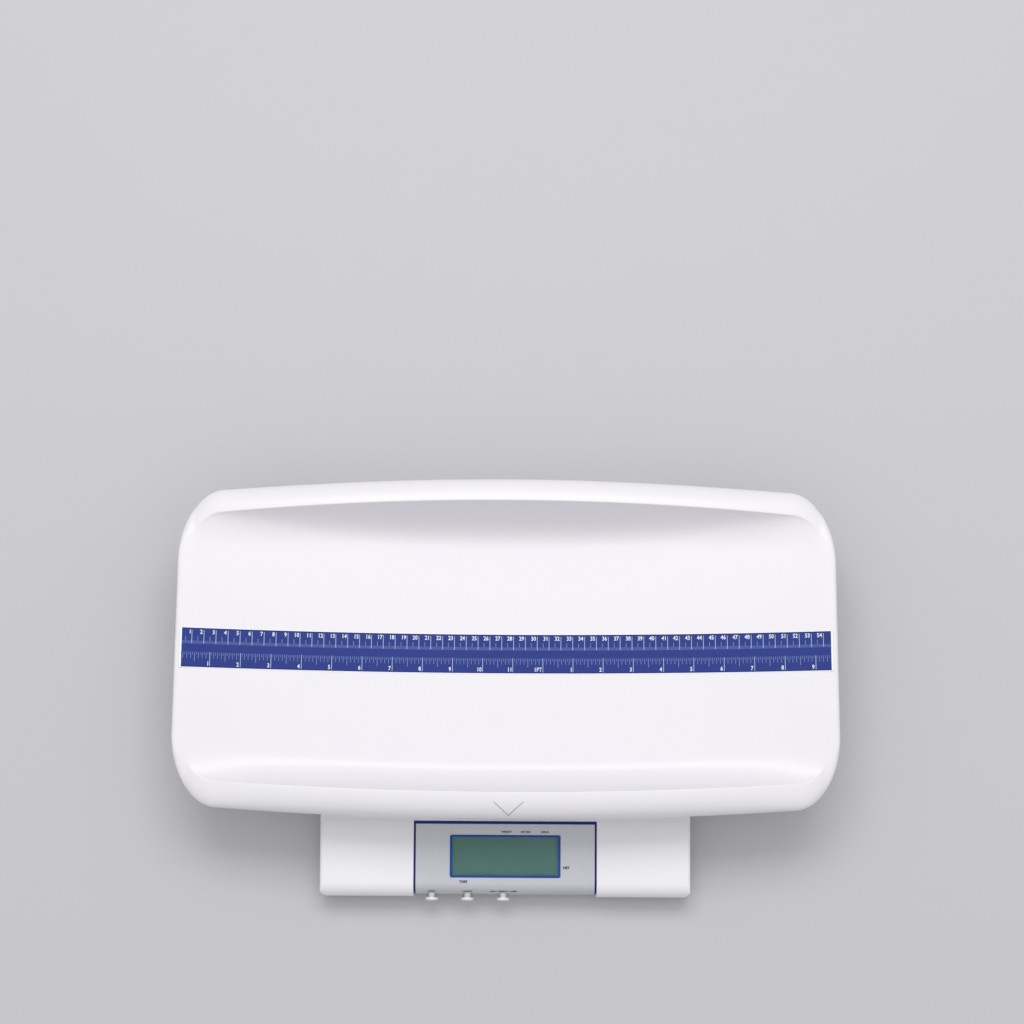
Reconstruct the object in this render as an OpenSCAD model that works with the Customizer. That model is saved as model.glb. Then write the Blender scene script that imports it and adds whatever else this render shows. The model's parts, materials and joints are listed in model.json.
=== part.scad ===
// Digital baby weighing scale: a bowed, boat-shaped tray on a low base, with a display console in front.
// Millimetres. +Z is up, the console faces -Y, and the origin lies on the table under the middle of the scale.

/* [Tray] */
// Length of the tray, side to side
tray_l = 552; // [500:1:600]
// Depth of the tray, front to back, at its middle
tray_w = 285; // [265:1:310]
// Thickness of the tray's wall
tray_t = 3; // [2.5:0.1:3.6]
// How far the two ends stand above the middle of the floor
end_rise = 33; // [25:0.5:40]
// Height of the front and back rims above the middle of the floor
rim_rise = 45; // [32:0.5:52]
// How far the long sides bow outwards
side_bow = 12; // [6:0.5:18]
// Size of the plan's rounded corners along the length
corner_long = 36; // [30:1:44]
// Size of the plan's rounded corners along the depth
corner_deep = 58; // [46:1:66]
// Width of the curved wall between the floor and the crest of the rim
wall_band = 30; // [24:1:36]
// Width of the rolled rim outside its crest
roll_w = 21; // [16:0.5:24]
// Drop of the rolled rim, at the middle of a long side
roll_drop = 16; // [12:0.5:20]
// Width of the small roll along the two ends
end_roll = 4.5; // [4:0.25:4.75]
// Drop of the small roll along the two ends
end_drop = 5; // [4:0.5:7]
// Height of the plain lip under the roll
lip_h = 3; // [2:0.5:5]
// Gap between the deck and the underside of the tray
tray_gap = 7; // [6:0.5:9]

/* [Measuring tape] */
// Width of the tape
tape_w = 34; // [28:1:40]
// Distance of the tape's ends from the tray's ends
tape_margin = 5; // [5:0.5:12]
// How far the tape's middle lies in front of the tray's centre line
tape_forward = 2; // [0:0.5:6]
// Thickness of the tape
tape_t = 0.3; // [0.2:0.05:0.5]

/* [Base] */
// Width of the base and the console
base_w = 310; // [290:1:330]
// Distance from the tray's centre line to the back of the base
base_back = 116; // [108:1:124]
// Height of the bottom pan
pan_h = 7; // [6:0.5:9]
// Height of the top cover
cover_h = 28; // [27:0.5:32]
// Wall of the two housings
wall = 2.5; // [2:0.1:3]
// Corner radius of the base at the back
back_corner = 14; // [8:1:20]
// Corner radius of the console at the front
front_corner = 5; // [4:0.5:8]
// Edge radius of the deck
deck_edge = 5; // [4:0.5:8]
// Height of the tongue that joins the pan to the cover
tongue_h = 2.5; // [1.5:0.5:4]
// Thickness of the tongue
tongue_t = 1.4; // [1:0.1:1.8]

/* [Console] */
// How far the console reaches in front of the tray
console_reach = 60; // [57:1:66]
// How far the deck's front step lies behind the tray's front edge
step_in = 3; // [1:0.5:5]
// Step down from the deck to the console's face
face_step = 2.5; // [1.5:0.5:4]
// Slope of the console's face, in degrees
face_tilt = 7; // [5:0.5:8]
// Radius of the console's front edge
front_r = 12; // [11:0.5:13]
// Radius of the console's side edges
side_r = 3; // [1:0.5:4]

/* [Display] */
// Width of the silver fascia with its blue trim
fascia_w = 153; // [145:1:165]
// How far the fascia lies below the white face
fascia_recess = 2; // [1:0.25:2.5]
// Thickness of the fascia
fascia_t = 2; // [1.5:0.25:2.5]
// Distance of the fascia's back edge from the deck's step
fascia_back = 1.5; // [1:0.5:3]
// Gap between the fascia's lower edge and the seam of the housings
fascia_low = 0.3; // [0.2:0.1:1]
// Width of the blue trim at the fascia's sides
trim_w = 1.6; // [1:0.1:2.5]
// Width of the blue trim along the fascia's back
trim_back = 2.4; // [1.5:0.1:3]
// Width of the window with its blue frame
window_w = 92.6; // [80:0.2:98]
// Height of the window with its blue frame, along the face
window_h = 35.5; // [30:0.5:37]
// Width of the blue frame
frame_w = 1.7; // [1:0.1:2.5]
// Thickness of the blue frame
frame_t = 0.8; // [0.5:0.1:1]
// Distance of the window's middle from the back of the face
window_back = 31; // [28:0.5:31]
// Thickness of the liquid crystal glass
glass_t = 2.8; // [2:0.1:3]
// Depth of the holder round the liquid crystal glass
carrier_h = 3.8; // [3.4:0.1:4.5]
// How far the main board reaches past the window on each side
board_side = 10.7; // [9:0.1:13]
// Depth of the main board, along the face
board_d = 36; // [32:1:37]
// Thickness of the circuit boards
board_t = 1.6; // [1:0.1:2]

/* [Buttons] */
// Diameter of a button's cap
cap_d = 10.6; // [9.6:0.2:12]
// Thickness of a button's cap at its middle
cap_t = 2.8; // [2.4:0.1:3.4]
// Radius of a button's rounded edge
cap_edge = 1.6; // [0.8:0.1:1.8]
// Diameter of a button's stem
stem_d = 8.4; // [7:0.2:8.6]
// Distance between neighbouring buttons
button_pitch = 30; // [24:0.5:32]
// Middle of the row of buttons, left of the scale's middle
button_row_x = 31.5; // [28:0.5:38]
// Height of the buttons above the seam of the housings
button_up = 5.5; // [5.5:0.25:6.5]
// How far a button stands out in front of the console
button_reach = 4; // [3.5:0.25:6]
// Travel of a button
button_travel = 1; // [0.5:0.1:1.4]

/* [Weighing mechanism] */
// Length of the load cell
cell_l = 120; // [110:1:130]
// Width of the load cell
cell_w = 25; // [22:0.5:30]
// Height of the load cell
cell_h = 16; // [14:0.5:16.5]
// Diameter of the two holes that make the load cell bend
cell_bore = 11; // [9:0.5:12]
// Distance of a support post from the middle, along the length
post_x = 110; // [104:1:118]
// Distance of a support post from the tray's centre line, along the depth
post_y = 70; // [64:1:76]
// Diameter of a support post
post_d = 14; // [12:0.5:16]
// Thickness of the steel plates
plate_t = 2; // [1.5:0.1:2.2]
// Thickness of the two spacers at the load cell
spacer_t = 2; // [1.5:0.1:2.2]
// Width of an arm of the spider
arm_w = 22; // [20:1:28]
// Downward travel of the platform before the stops
weigh_travel = 0.5; // [0.3:0.05:0.6]

/* [Power] */
// Diameter of a battery
battery_d = 14.5; // [14:0.1:15]
// Length of a battery
battery_l = 50.5; // [48:0.5:52]
// Number of batteries side by side
battery_count = 4; // [2:1:4]
// Thickness of the battery door
door_t = 2; // [1.6:0.1:2.2]
// How far the battery door slides forward to come free
door_travel = 8; // [6:0.5:9]

/* [Feet and screws] */
// Height of the feet below the pan
foot_h = 5; // [4:0.5:8]
// Diameter of a foot
foot_d = 20; // [16:1:21]
// Diameter of the housing screws
screw_d = 3; // [2.5:0.1:3.5]

/* [Hidden] */
$fn = 48;

// Clearances: round pieces in their bores, pieces that slide or drop in, and free room round moving pieces.
bore_gap = 0.05;
slip = 0.2;
part_gap = 0.3;
free_gap = 2;
// How far a cutting shape runs past the face that it cuts.
over = 1;

// Heights above the table.
pan_z = foot_h;
seam_z = pan_z + pan_h;
deck_z = seam_z + cover_h;
floor_z = deck_z + tray_gap + tray_t;
pan_floor_z = pan_z + wall;

// Places along the depth. The front of the buttons and the back of the tray are equally far from the origin.
tray_y = (console_reach + button_reach) / 2;
tray_front_y = tray_y - tray_w / 2;
console_front_y = tray_front_y - console_reach;
step_y = tray_front_y + step_in;
base_back_y = tray_y + base_back;

// ---------------------------------------------------------------- shared shapes

module block(x, y, z) {
    translate([x[0], y[0], z[0]])
        cube([x[1] - x[0], y[1] - y[0], z[1] - z[0]]);
}

// An upright round bar between two heights.
module bar(d, low, high) {
    translate([0, 0, low])
        cylinder(d = d, h = high - low);
}

module rounded_area(x, y, r) {
    translate([x[0] + r, y[0]]) square([x[1] - x[0] - 2 * r, y[1] - y[0]]);
    translate([x[0], y[0] + r]) square([x[1] - x[0], y[1] - y[0] - 2 * r]);
    for (cx = [x[0] + r, x[1] - r]) for (cy = [y[0] + r, y[1] - r])
        translate([cx, cy]) circle(r);
}

// Stands a shape drawn in depth and height upright, and stretches it across the width.
module across(width) {
    rotate([90, 0, 90])
        translate([0, 0, -width / 2])
            linear_extrude(width)
                children();
}

// Stands a shape drawn in width and height upright, and stretches it along the depth.
module along(y) {
    translate([0, y[1], 0])
        rotate([90, 0, 0])
            linear_extrude(y[1] - y[0])
                children();
}

module at_corners(x, y, middle = 0) {
    for (sx = [-1, 1]) for (sy = [-1, 1])
        translate([sx * x, middle + sy * y, 0])
            children();
}

// A wire through a row of points.
module wire(d, points) {
    for (i = [0 : len(points) - 2]) {
        leg = points[i + 1] - points[i];
        translate(points[i])
            rotate([0, acos(leg.z / norm(leg)), atan2(leg.y, leg.x)])
                cylinder(d = d, h = norm(leg), $fn = 16);
    }
    for (i = [1 : 1 : len(points) - 2])
        translate(points[i]) sphere(d = d * 1.2, $fn = 16);
}

// ---------------------------------------------------------------- tray surface

half_l = tray_l / 2;
corner_x = half_l - corner_long;
rim_band = roll_w + wall_band;
// The rims fade out at this distance from the middle.
fade_x = half_l - corner_long * 0.35;
side_steps = 11;
corner_steps = 7;
roll_angles = [90, 66, 44, 24];
wall_steps = [1, 0.9, 0.76, 0.6, 0.42, 0.22, 0];
// Share of a full quarter turn that the inner wall goes through, and how gently it leaves the floor.
wall_fullness = 0.94;
wall_ease = 1.25;

function unit(v) = v / norm(v);
function within(v, low, high) = min(high, max(low, v));
function mix(a, b, s) = a + (b - a) * s;
function arc_dip(s) = 1 - sqrt(1 - pow(s, 2));

function side_y(x) = tray_w / 2 - side_bow * pow(x / half_l, 2);
function floor_rise(x) = end_rise * pow(x / half_l, 2);
function rim_at(x) = rim_rise * max(0, 1 - pow(x / fade_x, 2));
function wall_curve(s) = arc_dip(wall_fullness * pow(s, wall_ease)) / arc_dip(wall_fullness);

// Stations along the length: the place, the half depth there and the turn round the corner. The last is the lip.
side_part = [for (i = [0 : side_steps - 1]) let (x = corner_x * i / side_steps) [x, side_y(x), 0]];
corner_part = [for (i = [0 : corner_steps])
    let (turn = 90 * i / corner_steps, x = corner_x + corner_long * sin(turn))
    [x, side_y(x) - corner_deep * (1 - cos(turn)), turn]];
half_stations = concat(side_part, corner_part, [corner_part[corner_steps]]);
stations = concat([for (i = [len(half_stations) - 1 : -1 : 1]) let (s = half_stations[i]) [-s.x, s.y, s.z]],
                  half_stations);
station_n = len(stations);

// Distances inwards from the outline: the lip, the roll, and the wall from the crest down to the floor.
half_insets = concat([0], [for (a = roll_angles) roll_w * (1 - sin(a))],
                     [for (s = wall_steps) mix(rim_band, roll_w, s)]);
inset_n = len(half_insets);
across_n = 2 * inset_n;

// How far the rolled edge lies below the crest, seen from the side or from the end, whichever is nearer.
function roll_dip(i, inset) =
    let (s = stations[i], turn = s.z,
         facing = corner_long * cos(turn) / norm([corner_deep * sin(turn), corner_long * cos(turn)]),
         gap = min(inset * facing, half_l - abs(s.x)),
         width = mix(roll_w, end_roll, pow(sin(turn), 2)),
         drop = mix(roll_drop, end_drop, pow(s.x / half_l, 4)))
    drop * arc_dip(max(0, 1 - gap / width));
function on_lip(i, k) = i == 0 || i == station_n - 1 || k == 0 || k == across_n - 1;
function upper_point(i, k) =
    let (s = stations[i], back = k < inset_n, inset = half_insets[back ? k : across_n - 1 - k],
         wall_share = within((rim_band - inset) / wall_band, 0, 1))
    [s.x, (back ? 1 : -1) * (s.y - inset),
     floor_z + floor_rise(s.x) + rim_at(s.x) * wall_curve(wall_share) - roll_dip(i, inset)
         - (on_lip(i, k) ? lip_h : 0)];
upper = [for (i = [0 : station_n - 1]) [for (k = [0 : across_n - 1]) upper_point(i, k)]];

// The direction out of the surface. The floor between the corners is level across the depth.
function outward(i, k) =
    let (a = within(i, 1, station_n - 2), b = within(k, 1, across_n - 2),
         n = cross(upper[a][b + 1] - upper[a][b - 1], upper[a + 1][b] - upper[a - 1][b]),
         flat = (b == inset_n - 1 || b == inset_n) && abs(stations[i].x) < corner_x)
    flat ? [0, 0, 1] : unit(on_lip(i, k) ? [n.x, n.y, 0] : n);
lower = [for (i = [0 : station_n - 1]) [for (k = [0 : across_n - 1]) upper[i][k] - tray_t * outward(i, k)]];

// Triangles between two rows of points, the rows starting at numbers a and b.
function strip(a, b, n) = [for (k = [0 : n - 2]) each [[a + k, a + k + 1, b + k + 1], [a + k, b + k + 1, b + k]]];

module tray() {
    count = station_n * across_n;
    last = (station_n - 1) * across_n;
    top = [for (i = [0 : station_n - 2]) each strip(i * across_n, (i + 1) * across_n, across_n)];
    bottom = [for (f = top) [f[0] + count, f[2] + count, f[1] + count]];
    ends = concat(strip(count, 0, across_n), strip(last, last + count, across_n));
    sides = [for (i = [0 : station_n - 2]) let (a = i * across_n, b = a + across_n - 1) each [
        [a, a + across_n, a + across_n + count], [a, a + across_n + count, a + count],
        [b, b + count, b + across_n + count], [b, b + across_n + count, b + across_n]]];
    color([0.95, 0.95, 0.97])
        translate([0, tray_y, 0])
            polyhedron(concat([for (r = upper) each r], [for (r = lower) each r]),
                       concat(top, bottom, ends, sides));
}

// A slab that follows the floor's curve, from low below it to high above it. Without low, its underside is level.
floor_line = [for (i = [1 : station_n - 2]) [stations[i].x, floor_z + floor_rise(stations[i].x)]];
module floor_slab(reach, y, low, high, level) {
    xs = concat([-reach], [for (p = floor_line) if (abs(p.x) < reach - 0.01) p.x], [reach]);
    n = len(xs);
    along(y)
        polygon(concat([for (x = xs) [x, lookup(x, floor_line) + high]],
                       [for (i = [n - 1 : -1 : 0]) [xs[i], level == undef ? lookup(xs[i], floor_line) + low : level]]));
}

module measuring_tape() {
    tape_y = tray_y - tape_forward;
    color([0.16, 0.24, 0.58])
        floor_slab(half_l - tape_margin, [tape_y - tape_w / 2, tape_y + tape_w / 2], 0, tape_t);
}

// ---------------------------------------------------------------- support of the tray

chassis_z = pan_floor_z + 1.5;
lower_spacer_z = chassis_z + plate_t;
cell_z = lower_spacer_z + spacer_t;
upper_spacer_z = cell_z + cell_h;
spider_z = upper_spacer_z + spacer_t;
post_z = spider_z + plate_t;
// The rubber pad caps the post: its wall, how far it reaches down the post, and its thickness on top.
pad_wall = 1;
pad_reach = 2;
pad_top = 2;
cup_play = 1.2;
cup_wall = 3.5;
pad_d = post_d + 2 * pad_wall;
pad_low_z = deck_z + free_gap;
post_top_z = pad_low_z + pad_reach;
pad_top_z = post_top_z + pad_top;
cup_bore_d = pad_d + 2 * cup_play;
cup_d = cup_bore_d + 2 * cup_wall;
cup_z = deck_z + free_gap;
post_hole_d = post_d + 2 * free_gap;

module at_posts() {
    at_corners(post_x, post_y, tray_y) children();
}

// Cups under the tray that drop over the padded posts.
module locating_cups() {
    color([0.93, 0.93, 0.95])
        difference() {
            intersection() {
                at_posts() bar(cup_d, cup_z, floor_z + end_rise);
                floor_slab(post_x + cup_d, [tray_y - post_y - cup_d, tray_y + post_y + cup_d], 0, -tray_t, deck_z);
            }
            at_posts() bar(cup_bore_d, cup_z - over, pad_top_z);
        }
}

module post_pads() {
    color([0.12, 0.12, 0.13])
        at_posts()
            difference() {
                bar(pad_d, pad_low_z, pad_top_z);
                bar(post_d, pad_low_z - over, post_top_z);
            }
}

post_screw_d = 4;
post_screw_up = 6;
post_screw_head_d = 8;
screw_head_h = 1.8;
module support_posts() {
    color([0.75, 0.76, 0.78])
        at_posts()
            difference() {
                bar(post_d, post_z, post_top_z);
                bar(post_screw_d + 2 * bore_gap, post_z - over, post_z + post_screw_up + part_gap);
            }
}

// A pan-headed screw along +Z, its head below the height at which it bears. The head has a hexagon socket.
socket_share = 0.9;
socket_depth_share = 0.55;
module screw_up(d, bear_z, length, head_d, head_h) {
    bar(d, bear_z - over / 2, bear_z + length);
    difference() {
        bar(head_d, bear_z - head_h, bear_z);
        bar(d * socket_share, bear_z - head_h - over, bear_z - head_h * (1 - socket_depth_share), $fn = 6);
    }
}

module post_screws() {
    color([0.7, 0.7, 0.72])
        at_posts() screw_up(post_screw_d, spider_z, plate_t + post_screw_up, post_screw_head_d, screw_head_h);
}

// ---------------------------------------------------------------- load cell and its plates

cell_end = 30;
cell_bolt_d = 4;
cell_bolt_in = 8;
cell_bolt_head_d = 7.5;
fixed_x = -(cell_l - cell_end) / 2;
bolt_dx = 8;
// The two holes through the load cell lie this far from its middle, joined by a slot half as high as they are.
bore_dx = cell_bore * 0.8;
stop_share = 0.8;
stop_x = post_x * stop_share;
stop_y = post_y * stop_share;
// How far the chassis plate reaches past the stops, and how far its screws stand in from its edges.
chassis_past = [12, 10];
chassis_screw_in = [7, 26];
chassis_x = stop_x + chassis_past.x;
chassis_y = stop_y + chassis_past.y;
chassis_screw_x = chassis_x - chassis_screw_in.x;
chassis_screw_y = chassis_y - chassis_screw_in.y;
chassis_corner = 8;
// The two long windows of the chassis plate: their middle and half length as shares of the plate, and their size.
slot_share = [0.55, 0.6];
slot_w = 20;
slot_corner = 6;

module at_bolts(x) {
    for (dx = [-bolt_dx, bolt_dx])
        translate([x + dx, tray_y, 0]) children();
}
module at_chassis_screws() {
    at_corners(chassis_screw_x, chassis_screw_y, tray_y) children();
}

module load_cell() {
    bolt = cell_bolt_d + 2 * bore_gap;
    color([0.78, 0.79, 0.8])
        difference() {
            block([-cell_l / 2, cell_l / 2], [tray_y - cell_w / 2, tray_y + cell_w / 2], [cell_z, upper_spacer_z]);
            for (x = [-bore_dx, bore_dx])
                translate([x, tray_y + cell_w / 2 + over, cell_z + cell_h / 2])
                    rotate([90, 0, 0]) cylinder(d = cell_bore, h = cell_w + 2 * over);
            block([-bore_dx, bore_dx], [tray_y - cell_w, tray_y + cell_w],
                  [cell_z + cell_h / 2 - cell_bore / 4, cell_z + cell_h / 2 + cell_bore / 4]);
            at_bolts(fixed_x) bar(bolt, cell_z - over, cell_z + cell_bolt_in + part_gap);
            at_bolts(-fixed_x) bar(bolt, upper_spacer_z - cell_bolt_in - part_gap, upper_spacer_z + over);
        }
}

// A foil gauge over each thin place of the load cell, above and below.
gauge_t = 0.4;
gauge_half = 4;
module strain_gauges() {
    color([0.85, 0.75, 0.45])
        for (x = [-bore_dx, bore_dx]) for (z = [cell_z - gauge_t, upper_spacer_z])
            block([x - gauge_half, x + gauge_half], [tray_y - gauge_half, tray_y + gauge_half], [z, z + gauge_t]);
}

module spacer(x, z) {
    difference() {
        block([x - cell_end / 2, x + cell_end / 2], [tray_y - cell_w / 2, tray_y + cell_w / 2], [z, z + spacer_t]);
        at_bolts(x) bar(cell_bolt_d + 2 * slip, z - over, z + spacer_t + over);
    }
}
module lower_spacer() { color([0.6, 0.61, 0.63]) spacer(fixed_x, lower_spacer_z); }
module upper_spacer() { color([0.6, 0.61, 0.63]) spacer(-fixed_x, upper_spacer_z); }

module cell_screws() {
    color([0.3, 0.3, 0.32])
        at_bolts(fixed_x)
            screw_up(cell_bolt_d, chassis_z, plate_t + spacer_t + cell_bolt_in, cell_bolt_head_d,
                     chassis_z - pan_floor_z - slip);
}
module spider_screws() {
    color([0.3, 0.3, 0.32])
        translate([0, 0, 2 * post_z]) mirror([0, 0, 1])
            at_bolts(-fixed_x)
                screw_up(cell_bolt_d, post_z, plate_t + spacer_t + cell_bolt_in, cell_bolt_head_d, screw_head_h);
}

module chassis_plate() {
    color([0.72, 0.74, 0.76])
        difference() {
            translate([0, 0, chassis_z])
                linear_extrude(plate_t)
                    rounded_area([-chassis_x, chassis_x], [tray_y - chassis_y, tray_y + chassis_y], chassis_corner);
            at_bolts(fixed_x) bar(cell_bolt_d + 2 * slip, chassis_z - over, lower_spacer_z + over);
            at_chassis_screws() bar(screw_d + 2 * slip, chassis_z - over, lower_spacer_z + over);
            at_corners(stop_x, stop_y, tray_y) bar(stop_d + 2 * bore_gap, chassis_z - over, lower_spacer_z + over);
            for (sy = [-1, 1])
                translate([0, tray_y + sy * chassis_y * slot_share.y, chassis_z - over])
                    linear_extrude(plate_t + 2 * over)
                        rounded_area([-chassis_x * slot_share.x, chassis_x * slot_share.x], [-slot_w / 2, slot_w / 2],
                                     slot_corner);
        }
}

chassis_screw_bite = 1;
module chassis_screws() {
    color([0.7, 0.7, 0.72])
        translate([0, 0, 2 * lower_spacer_z]) mirror([0, 0, 1])
            at_chassis_screws()
                screw_up(screw_d, lower_spacer_z, plate_t + chassis_z - pan_floor_z + chassis_screw_bite, screw_d + 3.5,
                         screw_head_h);
}

// Studs that the spider's arms come down on when the scale is overloaded.
stop_d = 5;
stop_nut_d = 9;
stop_nut_h = 3;
module overload_stops() {
    color([0.65, 0.66, 0.68])
        at_corners(stop_x, stop_y, tray_y) {
            bar(stop_d, chassis_z, spider_z - weigh_travel - bore_gap);
            bar(stop_nut_d, lower_spacer_z, lower_spacer_z + stop_nut_h, $fn = 6);
        }
}

// A cross of sheet steel. Its outline is worked out for one arm, from the end of the middle block on.
module load_spider() {
    turn = atan2(post_y, post_x);
    half_arm = arm_w / 2;
    block_x = cell_l / 2;
    block_y = cell_w * 0.7;
    quarter = concat([[block_x, block_y], [(half_arm + block_y * cos(turn)) / sin(turn), block_y]],
                     arc([post_x, post_y], half_arm, turn - 90, turn + 90, 12),
                     [[(block_y * cos(turn) - half_arm) / sin(turn), block_y]]);
    last = len(quarter) - 1;
    half = concat(quarter, [for (i = [last : -1 : 0]) [-quarter[i].x, quarter[i].y]]);
    color([0.72, 0.74, 0.76])
        difference() {
            translate([0, tray_y, spider_z])
                linear_extrude(plate_t)
                    polygon(concat(half, [for (p = half) -p]));
            at_posts() bar(post_screw_d + 2 * slip, spider_z - over, post_z + over);
            at_bolts(-fixed_x) bar(cell_bolt_d + 2 * slip, spider_z - over, post_z + over);
        }
}

// ---------------------------------------------------------------- base outline and console profile

function face_at(y) = deck_z - face_step - (step_y - y) * tan(face_tilt);
edge_y = console_front_y + front_r;
edge_z = face_at(edge_y) - front_r / cos(face_tilt);
// The sloping face runs this far on under the deck.
face_run = 12;

// Puts a shape on the console's face: +Y runs up the slope from the deck's step, and +Z points out of the face.
module on_face() {
    translate([0, step_y, face_at(step_y)])
        rotate([face_tilt, 0, 0])
            children();
}

function face_point(x, up, out) =
    [x, step_y + up * cos(face_tilt) - out * sin(face_tilt),
     face_at(step_y) + up * sin(face_tilt) + out * cos(face_tilt)];

// Points along an arc round a centre, from one angle to another.
function arc(centre, r, from, to, steps) =
    [for (i = [0 : steps]) let (a = from + (to - from) * i / steps) centre + r * [cos(a), sin(a)]];

// The console seen from its side, in depth and height, with an inset from the white face.
module console_profile(inset, low = seam_z) {
    edge = arc([edge_y, edge_z], front_r - inset, 180, 90 + face_tilt, 16);
    end_y = step_y + face_run;
    top = edge[len(edge) - 1];
    polygon(concat([[edge[0].x, low]], edge, [[end_y, top.y + (end_y - top.x) * tan(face_tilt)], [end_y, low]]));
}

module base_area(inset) {
    half = base_w / 2 - inset;
    intersection() {
        rounded_area([-half, half], [console_front_y + inset, base_back_y + back_corner], front_corner - inset / 2);
        rounded_area([-half, half], [console_front_y - back_corner, base_back_y - inset], back_corner - inset);
    }
}

// The whole cover seen from its side. The step is left a little too far forward, and cut to its bow afterwards.
step_spare = 1;
module side_profile(inset, step_at, low) {
    edge = arc([edge_y, edge_z], front_r - inset, 180, 90 + face_tilt, 16);
    back = arc([base_back_y - deck_edge, deck_z - deck_edge], deck_edge - inset, 90, 0, 8);
    top = edge[len(edge) - 1];
    polygon(concat([[edge[0].x, low]], edge,
                   [[step_at, top.y + (step_at - top.x) * tan(face_tilt)], [step_at, deck_z - inset]],
                   back, [[base_back_y - inset, low]]));
}

module cover_form(inset, step_at, low) {
    intersection() {
        translate([0, 0, low]) linear_extrude(deck_z) base_area(inset);
        across(base_w + 2 * over) side_profile(inset, step_at, low);
    }
}

// What a rounded edge of radius r takes off a corner that lies at the origin, up and to the right of the material.
module edge_cut(r) {
    polygon(concat(arc([-r, -r], r, 90, 0, 8), [[over, -r], [over, over], [-r, over]]));
}

// The deck's front step is parallel to the tray's bowed front edge, with a fine groove along its foot.
base_bow = side_bow * pow(base_w / tray_l, 2);
bow_r = (pow(base_w / 2, 2) + pow(base_bow, 2)) / (2 * base_bow);
groove = 0.3;
module step_cut() {
    difference() {
        on_face() block([-base_w, base_w], [-fascia_back + slip, face_run], [-groove, 2 * face_step + over]);
        translate([0, step_y + bow_r, 0]) cylinder(r = bow_r, h = 2 * deck_z, $fn = 400);
    }
}

module cover_edges_cut() {
    for (side = [0, 1])
        mirror([side, 0, 0]) {
            translate([base_w / 2, 0, deck_z]) along([step_y - over, base_back_y + over]) edge_cut(deck_edge);
            on_face() translate([base_w / 2, 0, 0]) along([-2 * console_reach, -fascia_back]) edge_cut(side_r);
        }
}

fascia_x = fascia_w / 2;
pocket_x = fascia_x + part_gap / 2;
pocket_floor = fascia_recess + fascia_t;
pocket_under = pocket_floor + 2;
fascia_back_y = step_y - fascia_back;
button_z = seam_z + button_up;
fascia_low_z = seam_z + fascia_low;
buttons_x = [-button_row_x - button_pitch, -button_row_x, -button_row_x + button_pitch];
// The liquid crystal glass reaches this far under the window's frame.
glass_under = 0.5;
glass_w = window_w - 2 * (frame_w - glass_under);
glass_h = window_h - 2 * (frame_w - glass_under);
board_w = window_w + 2 * board_side;
board_screw_in = 4;
board_boss_x = board_w / 2 - board_screw_in;
board_boss_y = board_d / 2 - board_screw_in;
board_under = pocket_under + carrier_h;
board_screw_d = 2;

module at_board_screws() {
    on_face() translate([0, -window_back, 0]) at_corners(board_boss_x, board_boss_y) children();
}

// Everything outside an inset copy of the console's profile, between two heights and in front of the deck.
module outside_profile(half, inset, low) {
    difference() {
        block([-half, half], [console_front_y - over, fascia_back_y], [low, deck_z]);
        across(base_w) console_profile(inset, 0);
    }
}

// Distances of the housing screws from the sides, from the front, from the tray's centre line and from the back.
screw_side = 12;
screw_front = 19;
screw_middle = 42;
screw_back = 20;
housing_screw_ys = [console_front_y + screw_front, tray_y - screw_middle, base_back_y - screw_back];
module at_housing_screws() {
    for (sx = [-1, 1]) for (y = housing_screw_ys)
        translate([sx * (base_w / 2 - screw_side), y, 0]) children();
}
boss_wall = 2.5;
boss_d = screw_d + 2 * boss_wall;
boss_z = seam_z + 1;
// How far a housing screw goes into the cover's boss.
screw_bite = 10;

module top_cover() {
    color([0.94, 0.94, 0.96])
        difference() {
            union() {
                difference() {
                    cover_form(0, step_y - step_spare, seam_z);
                    cover_edges_cut();
                    step_cut();
                    difference() {
                        cover_form(wall, step_y + wall + base_bow, seam_z - over);
                        // Under the fascia the wall is carried lower.
                        difference() {
                            block([-pocket_x - wall, pocket_x + wall], [console_front_y - over, fascia_back_y + wall],
                                  [seam_z - 2 * over, deck_z]);
                            across(base_w) console_profile(pocket_under, 0);
                        }
                    }
                }
                intersection() {
                    cover_form(wall / 2, step_y + wall + base_bow, boss_z);
                    at_housing_screws() bar(boss_d, boss_z, deck_z);
                }
                at_board_screws() bar(board_screw_d + 3, -board_under, -pocket_floor - over);
            }
            outside_profile(pocket_x, pocket_floor, 0);
            at_posts() bar(post_hole_d, deck_z - 2 * wall, deck_z + over);
            at_housing_screws() bar(screw_d + 2 * bore_gap, boss_z - over, boss_z + screw_bite + 2 * over);
            at_board_screws() bar(board_screw_d + 2 * bore_gap, -board_under - over, -pocket_under);
            on_face()
                block([-glass_w / 2 - part_gap, glass_w / 2 + part_gap],
                      [-window_back - glass_h / 2 - part_gap, -window_back + glass_h / 2 + part_gap],
                      [-pocket_under - over, 0]);
            for (x = buttons_x) {
                button_bar(x, [console_front_y - over, front_wall_y + over], stem_hole_d);
                // The wall curves back above the buttons, and is spot-faced there for their flanges.
                button_bar(x, [front_wall_y, front_wall_y + front_r], flange_d + 2 * slip);
            }
        }
}

// ---------------------------------------------------------------- fascia, window and display

module fascia_shell(half, back) {
    intersection() {
        difference() {
            across(2 * half) console_profile(fascia_recess, 0);
            across(base_w) console_profile(pocket_floor, 0);
        }
        block([-half, half], [console_front_y, fascia_back_y - back], [fascia_low_z, deck_z]);
    }
}

module window_hole(gap) {
    on_face()
        block([-window_w / 2 - gap, window_w / 2 + gap],
              [-window_back - window_h / 2 - gap, -window_back + window_h / 2 + gap], [-2 * pocket_floor, over]);
}

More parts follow.
